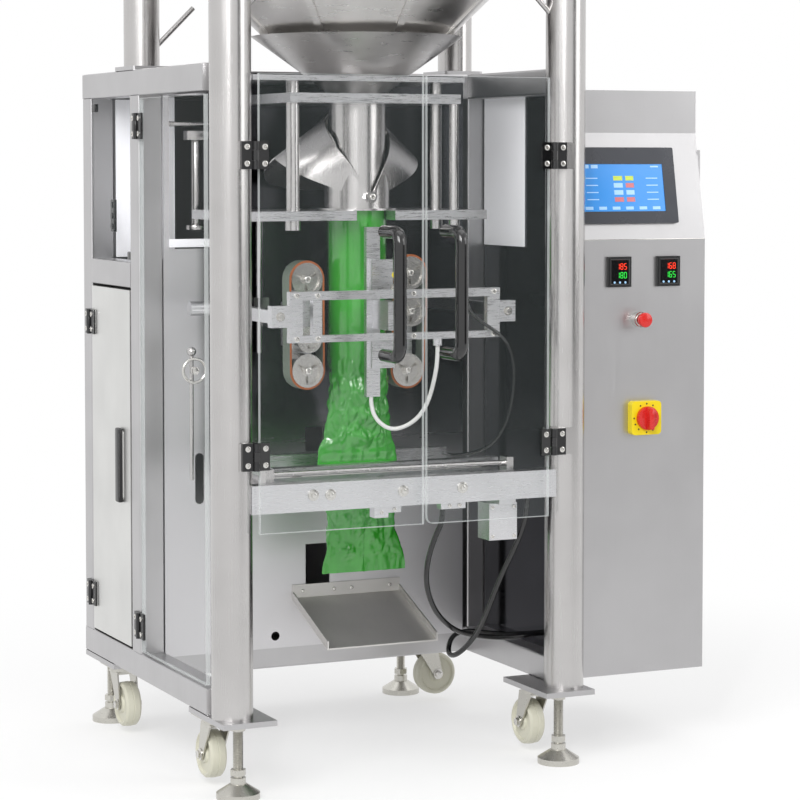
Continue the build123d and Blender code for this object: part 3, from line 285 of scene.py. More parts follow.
NODE_FINISH = {
    "front_columns": "tube_steel", "rear_columns": "tube_steel", "knee_braces": "tube_steel",
    "former_rods": "tube_steel", "forming_tube": "tube_steel", "jaw_rods": "tube_steel",
    "guide_shafts": "tube_steel", "forming_collar": "tube_steel",
    "product_funnel": "funnel_steel", "upper_chute": "funnel_steel",
    "front_panel": "panel_with_painted_reflection", "right_side_wall": "wall_with_painted_dark_reflection", "front_beam": "milled_aluminium",
    "upper_former_plate": "milled_aluminium", "lower_former_plate": "milled_aluminium",
    "funnel_plate": "milled_aluminium", "sealer_frame": "milled_aluminium",
    "vertical_sealer": "milled_aluminium", "sealing_jaws": "milled_aluminium",
    "belt_housings": "milled_aluminium", "belt_pulleys": "turned_aluminium",
    "draw_belts": "belt_rubber", "levelling_feet": "zinc", "caster_forks": "zinc",
    "left_front_door": "acrylic", "right_front_door": "acrylic", "left_side_door": "acrylic",
    "left_window": "acrylic", "left_door_fittings": "gloss_black", "right_door_fittings": "gloss_black",
    "column_hinge_leaves": "black_abs", "temperature_controllers": "black_abs", "touch_screen": "screen_bezel",
    "isolator_plate": "yellow_plastic", "isolator_knob": "red_plastic", "stop_button": "red_plastic",
    "button_ring": "bolt_steel", "film_bag": "green_film", "control_cabinet": "cabinet_steel",
    "discharge_tray": "tray_steel", "lower_left_door": "door_steel",
    "caster_wheel_front_left": "nylon", "caster_wheel_front_right": "nylon",
    "caster_wheel_rear_left": "nylon", "caster_wheel_rear_right": "nylon",
}
for node_name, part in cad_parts.items():
    part.data.materials.clear()
    part.data.materials.append(FINISH[NODE_FINISH.get(node_name, "brushed_steel")])


def mm(*values):
    """Millimetres to metres."""
    return Vector(values) * MM


def clear_selection():
    """Leaves edit mode and selects nothing, because operators act on all that is selected."""
    if bpy.context.mode != "OBJECT":
        bpy.ops.object.mode_set(mode="OBJECT")
    bpy.ops.object.select_all(action="DESELECT")


def pick(piece):
    """Makes a piece the only selected and the active one."""
    clear_selection()
    piece.select_set(True)
    bpy.context.view_layer.objects.active = piece


def edit(piece):
    """Opens a piece in edit mode with nothing selected."""
    pick(piece)
    bpy.ops.object.mode_set(mode="EDIT")
    bpy.ops.mesh.select_all(action="DESELECT")


def pick_faces(piece, test):
    """Selects the faces whose normal and middle pass the test, in edit mode."""
    bpy.ops.mesh.select_mode(type="FACE")
    bpy.ops.mesh.select_all(action="DESELECT")
    bpy.ops.object.mode_set(mode="OBJECT")
    for face in piece.data.polygons:
        face.select = test(face.normal, face.center)
    bpy.ops.object.mode_set(mode="EDIT")


def add_bevel(piece, width_mm, segments=2):
    """Rounds a piece's sharp edges with an applied bevel."""
    pick(piece)
    bevel = piece.modifiers.new("edge", "BEVEL")
    bevel.width = width_mm * MM
    bevel.segments = segments
    bevel.limit_method = "ANGLE"
    bpy.ops.object.modifier_apply(modifier="edge")


def finish_piece(piece, name, body, finish, smooth_deg=35):
    """Puts a piece's place into its mesh, then names it, finishes it and hangs it on its body."""
    pick(piece)
    bpy.ops.object.transform_apply(location=True, rotation=True, scale=True)
    bpy.ops.object.shade_smooth_by_angle(angle=math.radians(smooth_deg))
    piece.name = name
    piece.data.name = name
    piece.data.materials.clear()
    piece.data.materials.append(FINISH[finish])
    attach(piece, body)
    return piece


def joined(pieces):
    """Joins pieces into the first of them."""
    clear_selection()
    for piece in pieces:
        piece.select_set(True)
    bpy.context.view_layer.objects.active = pieces[0]
    if len(pieces) > 1:
        bpy.ops.object.join()
    return bpy.context.object


def bar_piece(low, high, edge_mm=0.6):
    """A rectangular piece between two corners in millimetres, with broken edges."""
    clear_selection()
    low, high = mm(*low), mm(*high)
    bpy.ops.mesh.primitive_cube_add(size=1, location=(low + high) / 2)
    piece = bpy.context.object
    piece.scale = high - low
    bpy.ops.object.transform_apply(location=True, rotation=True, scale=True)
    if edge_mm:
        add_bevel(piece, edge_mm)
    return piece


def round_piece(start, end, radius, sides=32, edge_mm=0.6, tip_radius=None):
    """A round piece between two points in millimetres, with a broken edge at each end."""
    clear_selection()
    start, end = mm(*start), mm(*end)
    turn = (end - start).to_track_quat("Z", "Y").to_euler()
    tip = radius if tip_radius is None else tip_radius
    bpy.ops.mesh.primitive_cone_add(vertices=sides, radius1=radius * MM, radius2=tip * MM,
                                    depth=(end - start).length, location=(start + end) / 2, rotation=turn)
    piece = bpy.context.object
    bpy.ops.object.transform_apply(location=True, rotation=True, scale=True)
    if edge_mm:
        add_bevel(piece, edge_mm)
    return piece


def socket_screw(radius, height, sides=20):
    """A screw head at the origin with its face towards +Z and a sunk socket in it."""
    clear_selection()
    bpy.ops.mesh.primitive_cylinder_add(vertices=sides, radius=radius * MM, depth=height * MM,
                                        location=(0, 0, height * MM / 2))
    head = bpy.context.object
    bpy.ops.object.transform_apply(location=True)
    edit(head)
    pick_faces(head, lambda normal, middle: normal.z > 0.9)
    bpy.ops.mesh.inset(thickness=radius * 0.18 * MM)
    bpy.ops.transform.translate(value=(0, 0, height * 0.15 * MM))
    bpy.ops.mesh.inset(thickness=radius * 0.34 * MM)
    bpy.ops.mesh.extrude_region_move(TRANSFORM_OT_translate={"value": (0, 0, -height * 0.6 * MM)})
    bpy.ops.object.mode_set(mode="OBJECT")
    return head


def hex_bolt(radius, height):
    """A hexagon bolt head on its washer, at the origin with its face towards +Z."""
    clear_selection()
    bpy.ops.mesh.primitive_cylinder_add(vertices=24, radius=radius * 1.35 * MM, depth=height * 0.2 * MM,
                                        location=(0, 0, height * 0.1 * MM))
    washer = bpy.context.object
    clear_selection()
    bpy.ops.mesh.primitive_cylinder_add(vertices=6, radius=radius * MM, depth=height * 0.8 * MM,
                                        location=(0, 0, height * 0.6 * MM))
    head = bpy.context.object
    edit(head)
    pick_faces(head, lambda normal, middle: normal.z > 0.9)
    bpy.ops.mesh.inset(thickness=radius * 0.12 * MM)
    bpy.ops.transform.translate(value=(0, 0, height * 0.1 * MM))
    bpy.ops.object.mode_set(mode="OBJECT")
    return joined([washer, head])


def set_in_places(head, spots, name, body, finish="bolt_steel"):
    """Copies a screw to each spot, a place in millimetres and the way it faces, and joins the copies."""
    copies = []
    for place, way in spots:
        copy = head.copy()
        copy.data = head.data.copy()
        bpy.context.scene.collection.objects.link(copy)
        turn = Vector(way).to_track_quat("Z", "Y").to_matrix().to_4x4()
        copy.matrix_world = Matrix.Translation(mm(*place)) @ turn @ head.matrix_world
        copies.append(copy)
    bpy.data.objects.remove(head)
    return finish_piece(joined(copies), name, body, finish)


FILM_R = 56.5
FILM_TOP_Z = 1085.0
SEAL_Z = 572.0
BAG_FOOT_Z = 361.0
FILM_ROUND = 160
FILM_STEP_MM = 3.5
# The film's sections, going down: height, middle across, half width and half depth, all in millimetres
FILM_SECTIONS = (
    (FILM_TOP_Z, TUBE_X, FILM_R, FILM_R), (790, TUBE_X, FILM_R, FILM_R), (730, TUBE_X, 57, 52),
    (680, TUBE_X, 62, 42), (630, TUBE_X + 1, 72, 24), (596, TUBE_X, 82, 9), (SEAL_Z + 6, TUBE_X, 84, 1.5),
    (SEAL_Z - 8, TUBE_X, 84, 1.5), (548, TUBE_X, 80, 10), (500, TUBE_X + 3, 72, 24), (450, TUBE_X + 8, 72, 27),
    (405, TUBE_X + 12, 80, 15), (378, TUBE_X + 14, 87, 3), (BAG_FOOT_Z + 14, TUBE_X + 14, 88, 1.2),
    (BAG_FOOT_Z, TUBE_X + 14, 88, 1.2),
)


def film_section(z):
    """The film's middle, half width and half depth at a height, eased between the sections."""
    for upper, lower in zip(FILM_SECTIONS, FILM_SECTIONS[1:]):
        if z >= lower[0]:
            share = (upper[0] - z) / (upper[0] - lower[0])
            eased = share * share * (3 - 2 * share)
            return [a + (b - a) * eased for a, b in zip(upper[1:], lower[1:])]
    return FILM_SECTIONS[-1][1:]


def crumple(x, y, z):
    """How far a point of the loose film stands in or out, in millimetres: sharp ridges round flat facets."""
    facets = noise.voronoi(Vector((x / 46, y / 46, z / 62)))[0]
    ridges = min(facets[1] - facets[0], 0.5)
    small = noise.voronoi(Vector((x / 19 + 7, y / 19, z / 30)))[0]
    fine = min(small[1] - small[0], 0.5)
    slow = noise.noise(Vector((x / 60, y / 60 + 3, z / 80)))
    return 20 * (ridges - 0.25) + 9 * (fine - 0.22) + 8 * slow


def build_film():
    """The film: one loose tube drawn down from the collar, pinched flat at the jaws and the bag's foot."""
    clear_selection()
    bpy.ops.mesh.primitive_circle_add(vertices=FILM_ROUND, radius=FILM_R * MM,
                                      location=mm(TUBE_X, TUBE_Y, FILM_TOP_Z))
    film = bpy.context.object
    bpy.ops.object.transform_apply(location=True)
    rings = round((FILM_TOP_Z - BAG_FOOT_Z) / FILM_STEP_MM)
    drop = (FILM_TOP_Z - BAG_FOOT_Z) / rings
    bpy.ops.object.mode_set(mode="EDIT")
    bpy.ops.mesh.select_all(action="SELECT")
    for _ in range(rings):
        bpy.ops.mesh.extrude_region_move(TRANSFORM_OT_translate={"value": (0, 0, -drop * MM)})
    bpy.ops.object.mode_set(mode="OBJECT")
    for vertex in film.data.vertices:
        x, y, z = vertex.co / MM
        turn = math.atan2(y - TUBE_Y, x - TUBE_X)
        middle, half_w, half_d = film_section(z)
        loose = min(1.0, max(0.0, (800 - z) / 70)) * min(1.0, half_d / 22)
        near_seal = min(1.0, max(0.0, (800 - z) / 90)) * (1 - min(1.0, half_d / 30))
        x = middle + half_w * math.cos(turn)
        y = TUBE_Y + half_d * math.sin(turn)
        push = crumple(x, y, z)
        pleat = 3.2 * near_seal * noise.noise(Vector((x / 13, z / 60, 2)))
        crimp = 0.5 * math.sin(z * math.tau / 4) if half_d < 1.6 else 0
        x += loose * push * math.cos(turn) * 0.7
        y += loose * push * math.sin(turn) + pleat + crimp
        vertex.co = mm(x, y, z)
    edit(film)
    bpy.ops.mesh.select_all(action="SELECT")
    bpy.ops.mesh.normals_make_consistent(inside=False)
    bpy.ops.object.mode_set(mode="OBJECT")
    # The seam: a strip of the same film, raised along the middle of the front
    strip = film.copy()
    strip.data = film.data.copy()
    bpy.context.scene.collection.objects.link(strip)
    edit(strip)
    pick_faces(strip, lambda normal, middle: not (normal.y < -0.1 and abs(
        middle.x / MM - film_section(middle.z / MM)[0] - 3) < 5.5 and middle.z / MM < 1040))
    bpy.ops.mesh.delete(type="FACE")
    bpy.ops.object.mode_set(mode="OBJECT")
    pick(strip)
    raised = strip.modifiers.new("fold", "SOLIDIFY")
    raised.thickness = 1.8 * MM
    raised.offset = 1
    bpy.ops.object.modifier_apply(modifier="fold")
    finish_piece(film, "film_tube", "frame", "green_film", 80)
    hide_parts("film_bag")
    finish_piece(strip, "film_back_seam", "frame", "green_film", 50)


# A smooth curve is a little shorter than the straight runs between its points
# The same points as in the part's source: where each cable and the hose go, in millimetres
CORDS = {
    "cable_left": (10, "medium", "object", [
        (-62, -321, 505), (-62, -321, 482), (-72, -310, 452), (-79, -293, 408), (-75, -275, 365),
        (-60, -259, 326), (-33, -242, 287), (12, -225, 252), (59, -215, 238), (109, -208, 229),
        (155, -203, 226), (193, -200, 229), (223, -200, 229)]),
    "cable_right": (10, "medium", "object", [
        (117, -320, 518), (117, -320, 494), (115, -308, 458), (103, -292, 412), (84, -280, 366),
        (67, -272, 318), (48, -270, 272), (24, -264, 234), (5, -238, 206), (8, -198, 204),
        (28, -172, 232), (62, -166, 240), (108, -170, 232), (152, -173, 226), (188, -174, 225),
        (223, -174, 225)]),
    "sealer_cable": (7, "medium", "object", [
        (12, -274, 899), (12, -274, 878), (26, -290, 856), (52, -300, 838), (82, -296, 818),
        (108, -276, 788), (126, -250, 752), (138, -224, 712), (143, -200, 670), (138, -178, 628),
        (124, -150, 596), (104, -114, 580), (86, -80, 573), (81, -52, 572), (81, -26, 572)]),
    "white_hose": (8, "medium", "object", [
        (-150, -190, 708), (-150, -190, 690), (-143, -198, 664), (-120, -208, 645), (-93, -220, 650),
        (-70, -236, 670), (-57, -250, 702), (-52, -264, 742), (-50, -274, 780), (-50, -274, 808)]),
    "window_cable": (8, "medium", "object", [
        (-488, 150, 1281), (-488, 150, 1240), (-490, 154, 1185), (-486, 162, 1130), (-490, 158, 1070),
        (-487, 149, 1015), (-488, 148, 984), (-488, 148, 958)]),
}


def build_cord(node, diameter_mm, stiffness, far_end, points):
    """A cord on one smooth curve through the points that its CAD tube follows."""
    clear_selection()
    data = bpy.data.curves.new(node + "_line", "CURVE")
    data.dimensions = "3D"
    data.bevel_depth = diameter_mm * MM / 2
    data.bevel_resolution = 6
    data.resolution_u = 12
    data.use_fill_caps = True
    spline = data.splines.new("NURBS")
    spline.points.add(len(points) - 1)
    for point, place in zip(spline.points, points):
        point.co = (*mm(*place), 1)
    spline.order_u = 3
    spline.use_endpoint_u = True
    cord = bpy.data.objects.new(node + "_run", data)
    bpy.context.scene.collection.objects.link(cord)
    hose = node == "white_hose"
    cord.data.materials.append(FINISH["hose_nylon" if hose else "cable_rubber"])
    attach(cord, "frame")
    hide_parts(node)


def build_door_edges():
    """The sawn edges of the clear doors: a thin pale rim round each sheet."""
    for node in ("left_front_door", "right_front_door", "left_side_door"):
        low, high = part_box(node)
        low, high = low / MM, high / MM
        side = node == "left_side_door"
        if side:
            low, high = Vector((LEFT_FACE_X, -287, 204)), Vector((LEFT_FACE_X + 8, 66, 1275))
        low, high = low - Vector((0.15,) * 3), high + Vector((0.15,) * 3)
        rim = bar_piece(low, high, 0)
        edit(rim)
        through = 0 if side else 1
        pick_faces(rim, lambda normal, middle: abs(normal[through]) > 0.9)
        bpy.ops.mesh.delete(type="ONLY_FACE")
        bpy.ops.object.mode_set(mode="OBJECT")
        if node == "right_front_door":
            edit(rim)
            bpy.ops.mesh.select_mode(type="EDGE")
            bpy.ops.object.mode_set(mode="OBJECT")
            for line in rim.data.edges:
                ends = [rim.data.vertices[i].co / MM for i in line.vertices]
                line.select = all(abs(end.x - low.x) < 0.1 and abs(end.z - low.z) < 0.1 for end in ends)
            bpy.ops.object.mode_set(mode="EDIT")
            bpy.ops.mesh.bevel(offset=14 * MM, segments=8)
            bpy.ops.object.mode_set(mode="OBJECT")
        pick(rim)
        wall = rim.modifiers.new("wall", "SOLIDIFY")
        wall.thickness = 1.0 * MM
        wall.offset = -1
        bpy.ops.object.modifier_apply(modifier="wall")
        finish_piece(rim, node + "_rim", node, "acrylic_edge")


def build_hinge_screws():
    """The screws in the leaves of every hinge, on the body that each leaf is fixed to."""
    front = {
        "frame": [LEFT_HINGE_X - 17, RIGHT_HINGE_X + 17], "left_front_door": [LEFT_HINGE_X + 17],
        "right_front_door": [RIGHT_HINGE_X - 17],
    }
    for body, xs in front.items():
        spots = [((x, DOOR_FRONT_Y - 5, z + up), TOWARDS_FRONT)
                 for x in xs for z in FRONT_HINGE_ZS for up in (-15, 15)]
        if body == "frame":
            for axis_y, zs in SIDE_HINGES.values():
                spots += [((LEFT_FACE_X - 5, axis_y + 16, z + up), TOWARDS_LEFT)
                          for z in zs for up in (-15, 15)]
        set_in_places(socket_screw(5.2, 2.6), spots, body + "_hinge_screws", body)
    for body, (axis_y, zs) in SIDE_HINGES.items():
        spots = [((LEFT_FACE_X - 5, axis_y - 16, z + up), TOWARDS_LEFT) for z in zs for up in (-15, 15)]
        set_in_places(socket_screw(5.2, 2.6), spots, body + "_hinge_screws", body)


def build_side_door_leaves():
    """Black moulded leaves over the side doors' own, which are clear and steel in the CAD, and the pull."""
    for body, (axis_y, zs) in SIDE_HINGES.items():
        leaves = []
        for z in zs:
            front_x = LEFT_FACE_X - 5.3
            leaves += [
                bar_piece((front_x, axis_y - 26.3, z - 25.3), (LEFT_FACE_X, axis_y - 5.2, z + 25.3), 1.2),
                round_piece((-528, axis_y, z - 9.2), (-528, axis_y, z + 9.2), 4.8, 24, 0.3),
                bar_piece((front_x, axis_y - 8, z - 9.1), (LEFT_FACE_X - 0.9, axis_y, z + 9.1), 0.3)]
        finish_piece(joined(leaves), body + "_hinge_leaves", body, "black_abs")
    pull = bar_piece((LEFT_FACE_X - 10.4, 173 - 0.6, 483 - 0.6), (LEFT_FACE_X, 195.6, 629.6), 3)
    finish_piece(pull, "lower_door_pull", "lower_left_door", "black_abs")


def build_beam_fixings():
    """Ringed bolts on the front beam, and small screws on its clamps, on the junction box and on the tray."""
    rings = []
    bolts = []
    for x, z in ((-334, 548), (-300, 547), (-154, 546), (-32, 546)):
        rings.append(round_piece((x, -344, z), (x, -346.5, z), 10.5, 40, 0.4))
        bolts.append(((x, -346.5, z), TOWARDS_FRONT))
    finish_piece(joined(rings), "beam_rings", "frame", "turned_aluminium")
    set_in_places(hex_bolt(5.0, 3.5), bolts, "beam_bolts", "frame")
    box_x, box_z = TUBE_X + 216.5, 471
    spots = [((box_x + across, -306, box_z + up), TOWARDS_FRONT) for across in (-23, 23) for up in (-28, 28)]
    spots += [((TUBE_X - 50, -334, 507), TOWARDS_FRONT), ((TUBE_X - 22, -330, 511), TOWARDS_FRONT)]
    spots += [((TUBE_X + 92, -330, 511), TOWARDS_FRONT), ((TUBE_X + 112, -330, 511), TOWARDS_FRONT)]
    tray_left, tray_right = TUBE_X - 62, TUBE_X + 174
    spots += [((x, PANEL_FACE_Y - 3, 299), TOWARDS_FRONT)
              for x in (tray_left + 22, tray_left + 90, tray_left + 128, tray_right - 24)]
    set_in_places(socket_screw(3.6, 2.4, 16), spots, "small_screws", "frame")


def build_sealer_fixings():
    """Screws, washers and the yellow capped adjuster on the vertical sealer and its frame."""
    bar_front_y = -282.0
    spots = []
    for x in (TUBE_X - 197, TUBE_X + 208):
        spots += [((x, bar_front_y, z), TOWARDS_FRONT) for z in (908, 828)]
    for x in (TUBE_X - 155, TUBE_X + 40):
        spots += [((x, bar_front_y + 1, z), TOWARDS_FRONT) for z in (907, 828)]
    set_in_places(socket_screw(5.0, 3.0), spots, "sealer_frame_screws", "frame")
    outer = [((x, bar_front_y, 870), TOWARDS_FRONT) for x in (TUBE_X - 229, TUBE_X + 238)]
    strip_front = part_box("vertical_sealer")[0].y / MM
    outer += [((TUBE_X + 8, strip_front, 918), TOWARDS_FRONT),
              ((TUBE_X + 10, strip_front, 789), TOWARDS_FRONT)]
    set_in_places(hex_bolt(6.5, 6), outer, "sealer_bolts", "frame")
    cap = round_piece((TUBE_X + 8, strip_front, 942), (TUBE_X + 8, strip_front - 5, 942), 6.5, 28, 1.2)
    finish_piece(cap, "adjuster_cap", "frame", "yellow_plastic")
    pulley_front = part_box("belt_pulleys")[0].y / MM
    hubs = [((TUBE_X + x, pulley_front, z), TOWARDS_FRONT)
            for x, z in ((-112, 930), (-107, 815), (-111, 756), (105, 939), (107, 865), (99, 751))]
    set_in_places(socket_screw(6.5, 5), hubs, "pulley_screws", "frame")


def build_touch_screen():
    """The lit glass in the bezel, with plain blocks for its buttons and readings."""
    upward = Vector((0, 38, 207)).normalized()
    outward = Vector((0, -207, 38)).normalized()
    middle = Vector((238 + 126 - 2, -251, 1106.5)) + outward * 6.6 - upward * 4

    def tile(across, up, width, height, proud):
        """A tile on the glass, from its middle and size in millimetres."""
        clear_selection()
        bpy.ops.mesh.primitive_cube_add(size=1)
        piece = bpy.context.object
        piece.scale = (width * MM, 0.3 * MM, height * MM)
        bpy.ops.object.transform_apply(scale=True)
        add_bevel(piece, 0.1, 1)
        tilt = math.atan2(38, 207)
        centre = (middle + Vector((across, 0, 0)) + upward * up + outward * proud) * MM
        piece.matrix_world = Matrix.Translation(centre) @ Matrix.Rotation(-tilt, 4, "X")
        return piece

    made = [(tile(0, 0, 185, 95, 0), "screen_blue", "screen_glass")]
    pale = [(-84, 41, 15, 7), (-64, 41, 15, 7), (70, 41, 18, 3)]
    pale += [(-72, up, 26, 2) for up in (18, 4, -10, -24)] + [(62, up, 26, 2) for up in (18, 4, -10, -24)]
    pale += [(across, -41, 17, 6) for across in (-82, -52, -22, 8, 38, 68)]
    green = [(-14, 18, 20, 9), (12, 18, 18, 9)]
    red = [(12, 4, 18, 9), (-14, -24, 20, 9), (12, -24, 18, 9)]
    grey = [(-14, 4, 20, 9), (-14, -10, 20, 9), (12, -10, 18, 9)]
    for group, finish, name in (
            (pale, "screen_pale", "screen_labels"), (green, "screen_green", "screen_green_keys"),
            (red, "screen_red", "screen_red_keys"), (grey, "screen_pale", "screen_grey_keys")):
        made.append((joined([tile(*one, 0.25) for one in group]), finish, name))
    for piece, finish, name in made:
        finish_piece(piece, name, "frame", finish)


# Which of a digit's seven bars are lit: top, upper left, upper right, middle, lower left, lower right, foot
SEGMENTS = {
    "0": "1110111", "1": "0010010", "5": "1101011", "6": "1101111", "8": "1111111",
}


def build_controllers():
    """The temperature controllers' windows: two rows of lit digits over three small keys."""
    face_y = CABINET_FRONT_Y - 6
    digits = {"digit_red": [], "digit_green": []}
    keys = []
    rims = []
    for centre_x, upper, lower in ((342, "185", "180"), (452, "168", "165")):
        rim = bar_piece((centre_x - 22, face_y - 1.2, 914), (centre_x + 22, face_y, 965), 0.6)
        edit(rim)
        pick_faces(rim, lambda normal, middle: normal.y < -0.9)
        bpy.ops.mesh.inset(thickness=2 * MM)
        bpy.ops.mesh.extrude_region_move(TRANSFORM_OT_translate={"value": (0, 0.7 * MM, 0)})
        bpy.ops.object.mode_set(mode="OBJECT")
        rims.append(rim)
        keys += [round_piece((x, face_y - 0.5, 919), (x, face_y - 1.4, 919), 2.2, 16, 0.2)
                 for x in (centre_x - 12, centre_x, centre_x + 12)]
        for text, row_z, finish in ((upper, 950, "digit_red"), (lower, 933, "digit_green")):
            for place, figure in enumerate(text):
                x = centre_x - 4 + place * 8.0
                bars = (((0, 5.5), 1), ((-2.5, 2.8), 0), ((2.5, 2.8), 0), ((0, 0), 1), ((-2.5, -2.8), 0),
                        ((2.5, -2.8), 0), ((0, -5.5), 1))
                for lit, ((across, up), level) in zip(SEGMENTS[figure], bars):
                    if lit == "1":
                        half_w, half_h = (2.1, 0.6) if level else (0.6, 2.4)
                        digits[finish].append(bar_piece(
                            (x + across - half_w, face_y - 0.9, row_z + up - half_h),
                            (x + across + half_w, face_y - 0.4, row_z + up + half_h), 0))
    finish_piece(joined(rims), "controller_windows", "frame", "gloss_black")
    # The keys take the lit display's pale finish, so they carry a painted glow
    finish_piece(joined(keys), "controller_keys", "frame", "screen_pale")
    for finish, bars in digits.items():
        finish_piece(joined(bars), "controller_" + finish, "frame", finish)


def build_cabinet_details():
    """The stop button's head, the isolator's knob and its plain marks, and the lip under the console."""
    y = CABINET_FRONT_Y
    button = joined([round_piece((386, y - 23, 846), (386, y - 34.0, 846), 14.5, 48, 3.0),
                     round_piece((386, y - 5, 846), (386, y - 24, 846), 8.5, 32, 0.5)])
    finish_piece(button, "stop_button_cap", "stop_button", "red_plastic")
    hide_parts("stop_button")
    collar = round_piece((386, y - 12, 846), (386, y - 17, 846), 12.5, 48, 1.0)
    finish_piece(collar, "stop_button_collar", "frame", "bolt_steel")
    x, z = 398.0, 653.0
    knob = round_piece((x, y - 16.4, z), (x, y - 25, z), 23.3, 64, 2.0, tip_radius=21.5)
    grip = bar_piece((x - 5.5, y - 38.4, z - 21.5), (x + 5.5, y - 23, z + 21.5), 2.2)
    finish_piece(joined([knob, grip]), "isolator_grip", "isolator_knob", "red_plastic")
    marks = []
    for turn in (180, 205, 230, 60, 90, 120, 270, 300):
        a = math.radians(turn)
        cx, cz = x + 28 * math.cos(a), z + 28 * math.sin(a)
        marks.append(round_piece((cx, y - 15.8, cz), (cx, y - 16.3, cz), 1.7, 16, 0))
    finish_piece(joined(marks), "isolator_marks", "frame", "black_abs")
    lip = bar_piece((239, y - 0.8, 1001.4), (537, y + 0.4, 1003.0), 0.3)
    finish_piece(lip, "console_lower_lip", "frame", "bolt_steel")


def build_foot_threads():
    """Threads on the levelling stems: a ribbed sleeve round each, coarser than M16 so that it shows."""
    low_z, high_z, pitch = 54.0, 122.0, 3.0
    root_r, crest_r = 8.1, 9.6
    disc_r = 40
    low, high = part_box("levelling_feet")
    feet = [(x, y) for x in (low.x / MM + disc_r, high.x / MM - disc_r)
            for y in (low.y / MM + disc_r, high.y / MM - disc_r)]
    sleeves = []
    for x, y in feet:
        clear_selection()
        bpy.ops.mesh.primitive_circle_add(vertices=24, radius=root_r * MM, fill_type="NGON",
                                          location=mm(x, y, low_z))
        sleeve = bpy.context.object
        bpy.ops.object.transform_apply(location=True)
        bpy.ops.object.mode_set(mode="EDIT")
        bpy.ops.mesh.select_all(action="SELECT")
        steps = int((high_z - low_z) / (pitch / 2))
        for step in range(steps):
            out = crest_r / root_r if step % 2 == 0 else root_r / crest_r
            bpy.ops.mesh.extrude_region_move(TRANSFORM_OT_translate={"value": (0, 0, pitch / 2 * MM)})
            bpy.ops.transform.resize(value=(out, out, 1), center_override=mm(x, y, low_z))
        bpy.ops.object.mode_set(mode="OBJECT")
        sleeves.append(sleeve)
    piece = joined(sleeves)
    edit(piece)
    bpy.ops.mesh.select_all(action="SELECT")
    bpy.ops.mesh.normals_make_consistent(inside=False)
    bpy.ops.object.mode_set(mode="OBJECT")
    finish_piece(piece, "stem_threads", "frame", "zinc", 20)


def build_inside_left():
    """What shows through the clear side door and the left window: rollers, sill, clips, lining and strip."""
    rollers = [round_piece((-455, 96, 1227), (-360, 96, 1227), 5, 24),
               round_piece((-391, 110, 1028), (-391, 110, 1200), 9, 28),
               round_piece((-391, 110, 1020), (-391, 110, 1030), 20, 32, 2),
               bar_piece((-412, 92, 1196), (-370, 124, 1214))]
    finish_piece(joined(rollers), "inner_roller", "frame", "tube_steel")
    sill = bar_piece((-461, 66, 988), (-352, 71.5, 1004), 1)
    finish_piece(sill, "window_sill", "frame", "pale_sheet")
    clips = [bar_piece((-519.5, 347, 1254), (-512, 369, 1270), 1.5),
             bar_piece((-519.5, 127, 963), (-512, 150, 978), 1.5)]
    finish_piece(joined(clips), "window_clips", "frame", "black_abs")
    lining = [bar_piece((-430, 128, 960), (-428, 366, 1280), 0.5),
              bar_piece((-470, 364, 960), (-428, 366, 1280), 0.5)]
    finish_piece(joined(lining), "window_lining", "frame", "pale_sheet")
    strip = bar_piece((-506, 270, 1014), (-500, 292, 1078), 1)
    studs = [round_piece((-506, 281, z), (-508, 281, z), 6, 20, 0.8) for z in (1024, 1046, 1068)]
    finish_piece(joined([strip] + studs), "terminal_strip", "frame", "black_abs")


def build_painted_wall_reflection():
    """A pale plate high on the inside of the right wall: a painted reflection of a softbox on the wall's dark
    sheet.
    """
    plate = bar_piece((219.5, -107, 985), (222.6, 68, 1281), 0.5)
    finish_piece(plate, "wall_painted_reflection_plate", "frame", "pale_sheet")


def build_caster_fixings():
    """Axle bolts on the casters."""
    spots = []
    for x, y, turn in ((-480, -228, 0), (183, -228, 0), (-480, 308, 180), (193, 308, -90)):
        a = math.radians(turn)
        along = Vector((math.cos(a), math.sin(a), 0))
        back = Vector((-math.sin(a), math.cos(a), 0))
        hub = Vector((x, y, 58)) + back * 28
        spots += [(hub + along * 21.5, along), (hub - along * 21.5, -along)]
    set_in_places(hex_bolt(8, 6), spots, "caster_axle_bolts", "frame")


def build_collar_clasp():
    """The screw in the round clasp at the front of the collar."""
    place = (TUBE_X, TUBE_Y - 62.5 - 9, 1087)
    set_in_places(socket_screw(6, 4), [(place, TOWARDS_FRONT)], "collar_clasp_screw", "frame")


def build_handwheel():
    """The rim and hub of the adjusting shaft's handwheel."""
    centre = (-453, -45.5, 757)
    clear_selection()
    bpy.ops.mesh.primitive_torus_add(major_radius=22.5 * MM, minor_radius=3 * MM, major_segments=48,
                                     minor_segments=12, location=mm(*centre), rotation=(math.pi / 2, 0, 0))
    rim = bpy.context.object
    pick(rim)
    bpy.ops.object.transform_apply(location=True, rotation=True)
    hub = round_piece((-453, -42, 757), (-453, -52, 757), 8, 32, 1)
    finish_piece(joined([rim, hub]), "handwheel_rim", "frame", "bolt_steel")


def build_rail_ends():
    """Welded plates that close the frame's square tubes at the back and beside the columns."""
    ends = [bar_piece((x - 24.5, y, z - 24.5), (x + 24.5, y + 2.2, z + 24.5), 0.8)
            for x in (-497, 210) for z, y in ((173, 419.2), (1306, 419.2), (173, -290.8), (1306, -281.8))]
    finish_piece(joined(ends), "rail_end_plates", "frame", "brushed_steel")


build_film()
build_handwheel()
build_rail_ends()
for cord_name, facts in CORDS.items():
    build_cord(cord_name, *facts)
build_door_edges()
build_side_door_leaves()
build_hinge_screws()
build_beam_fixings()
build_sealer_fixings()
build_touch_screen()
build_controllers()
build_cabinet_details()
build_foot_threads()
build_inside_left()
build_painted_wall_reflection()
build_caster_fixings()
build_collar_clasp()


# The floor takes the shadow out to the near distance and is plain white past the far one, in metres
FLOOR_NEAR, FLOOR_FAR = 0.9, 2.0
FLOOR_COLOUR = (0.98, 0.98, 0.98, 1)
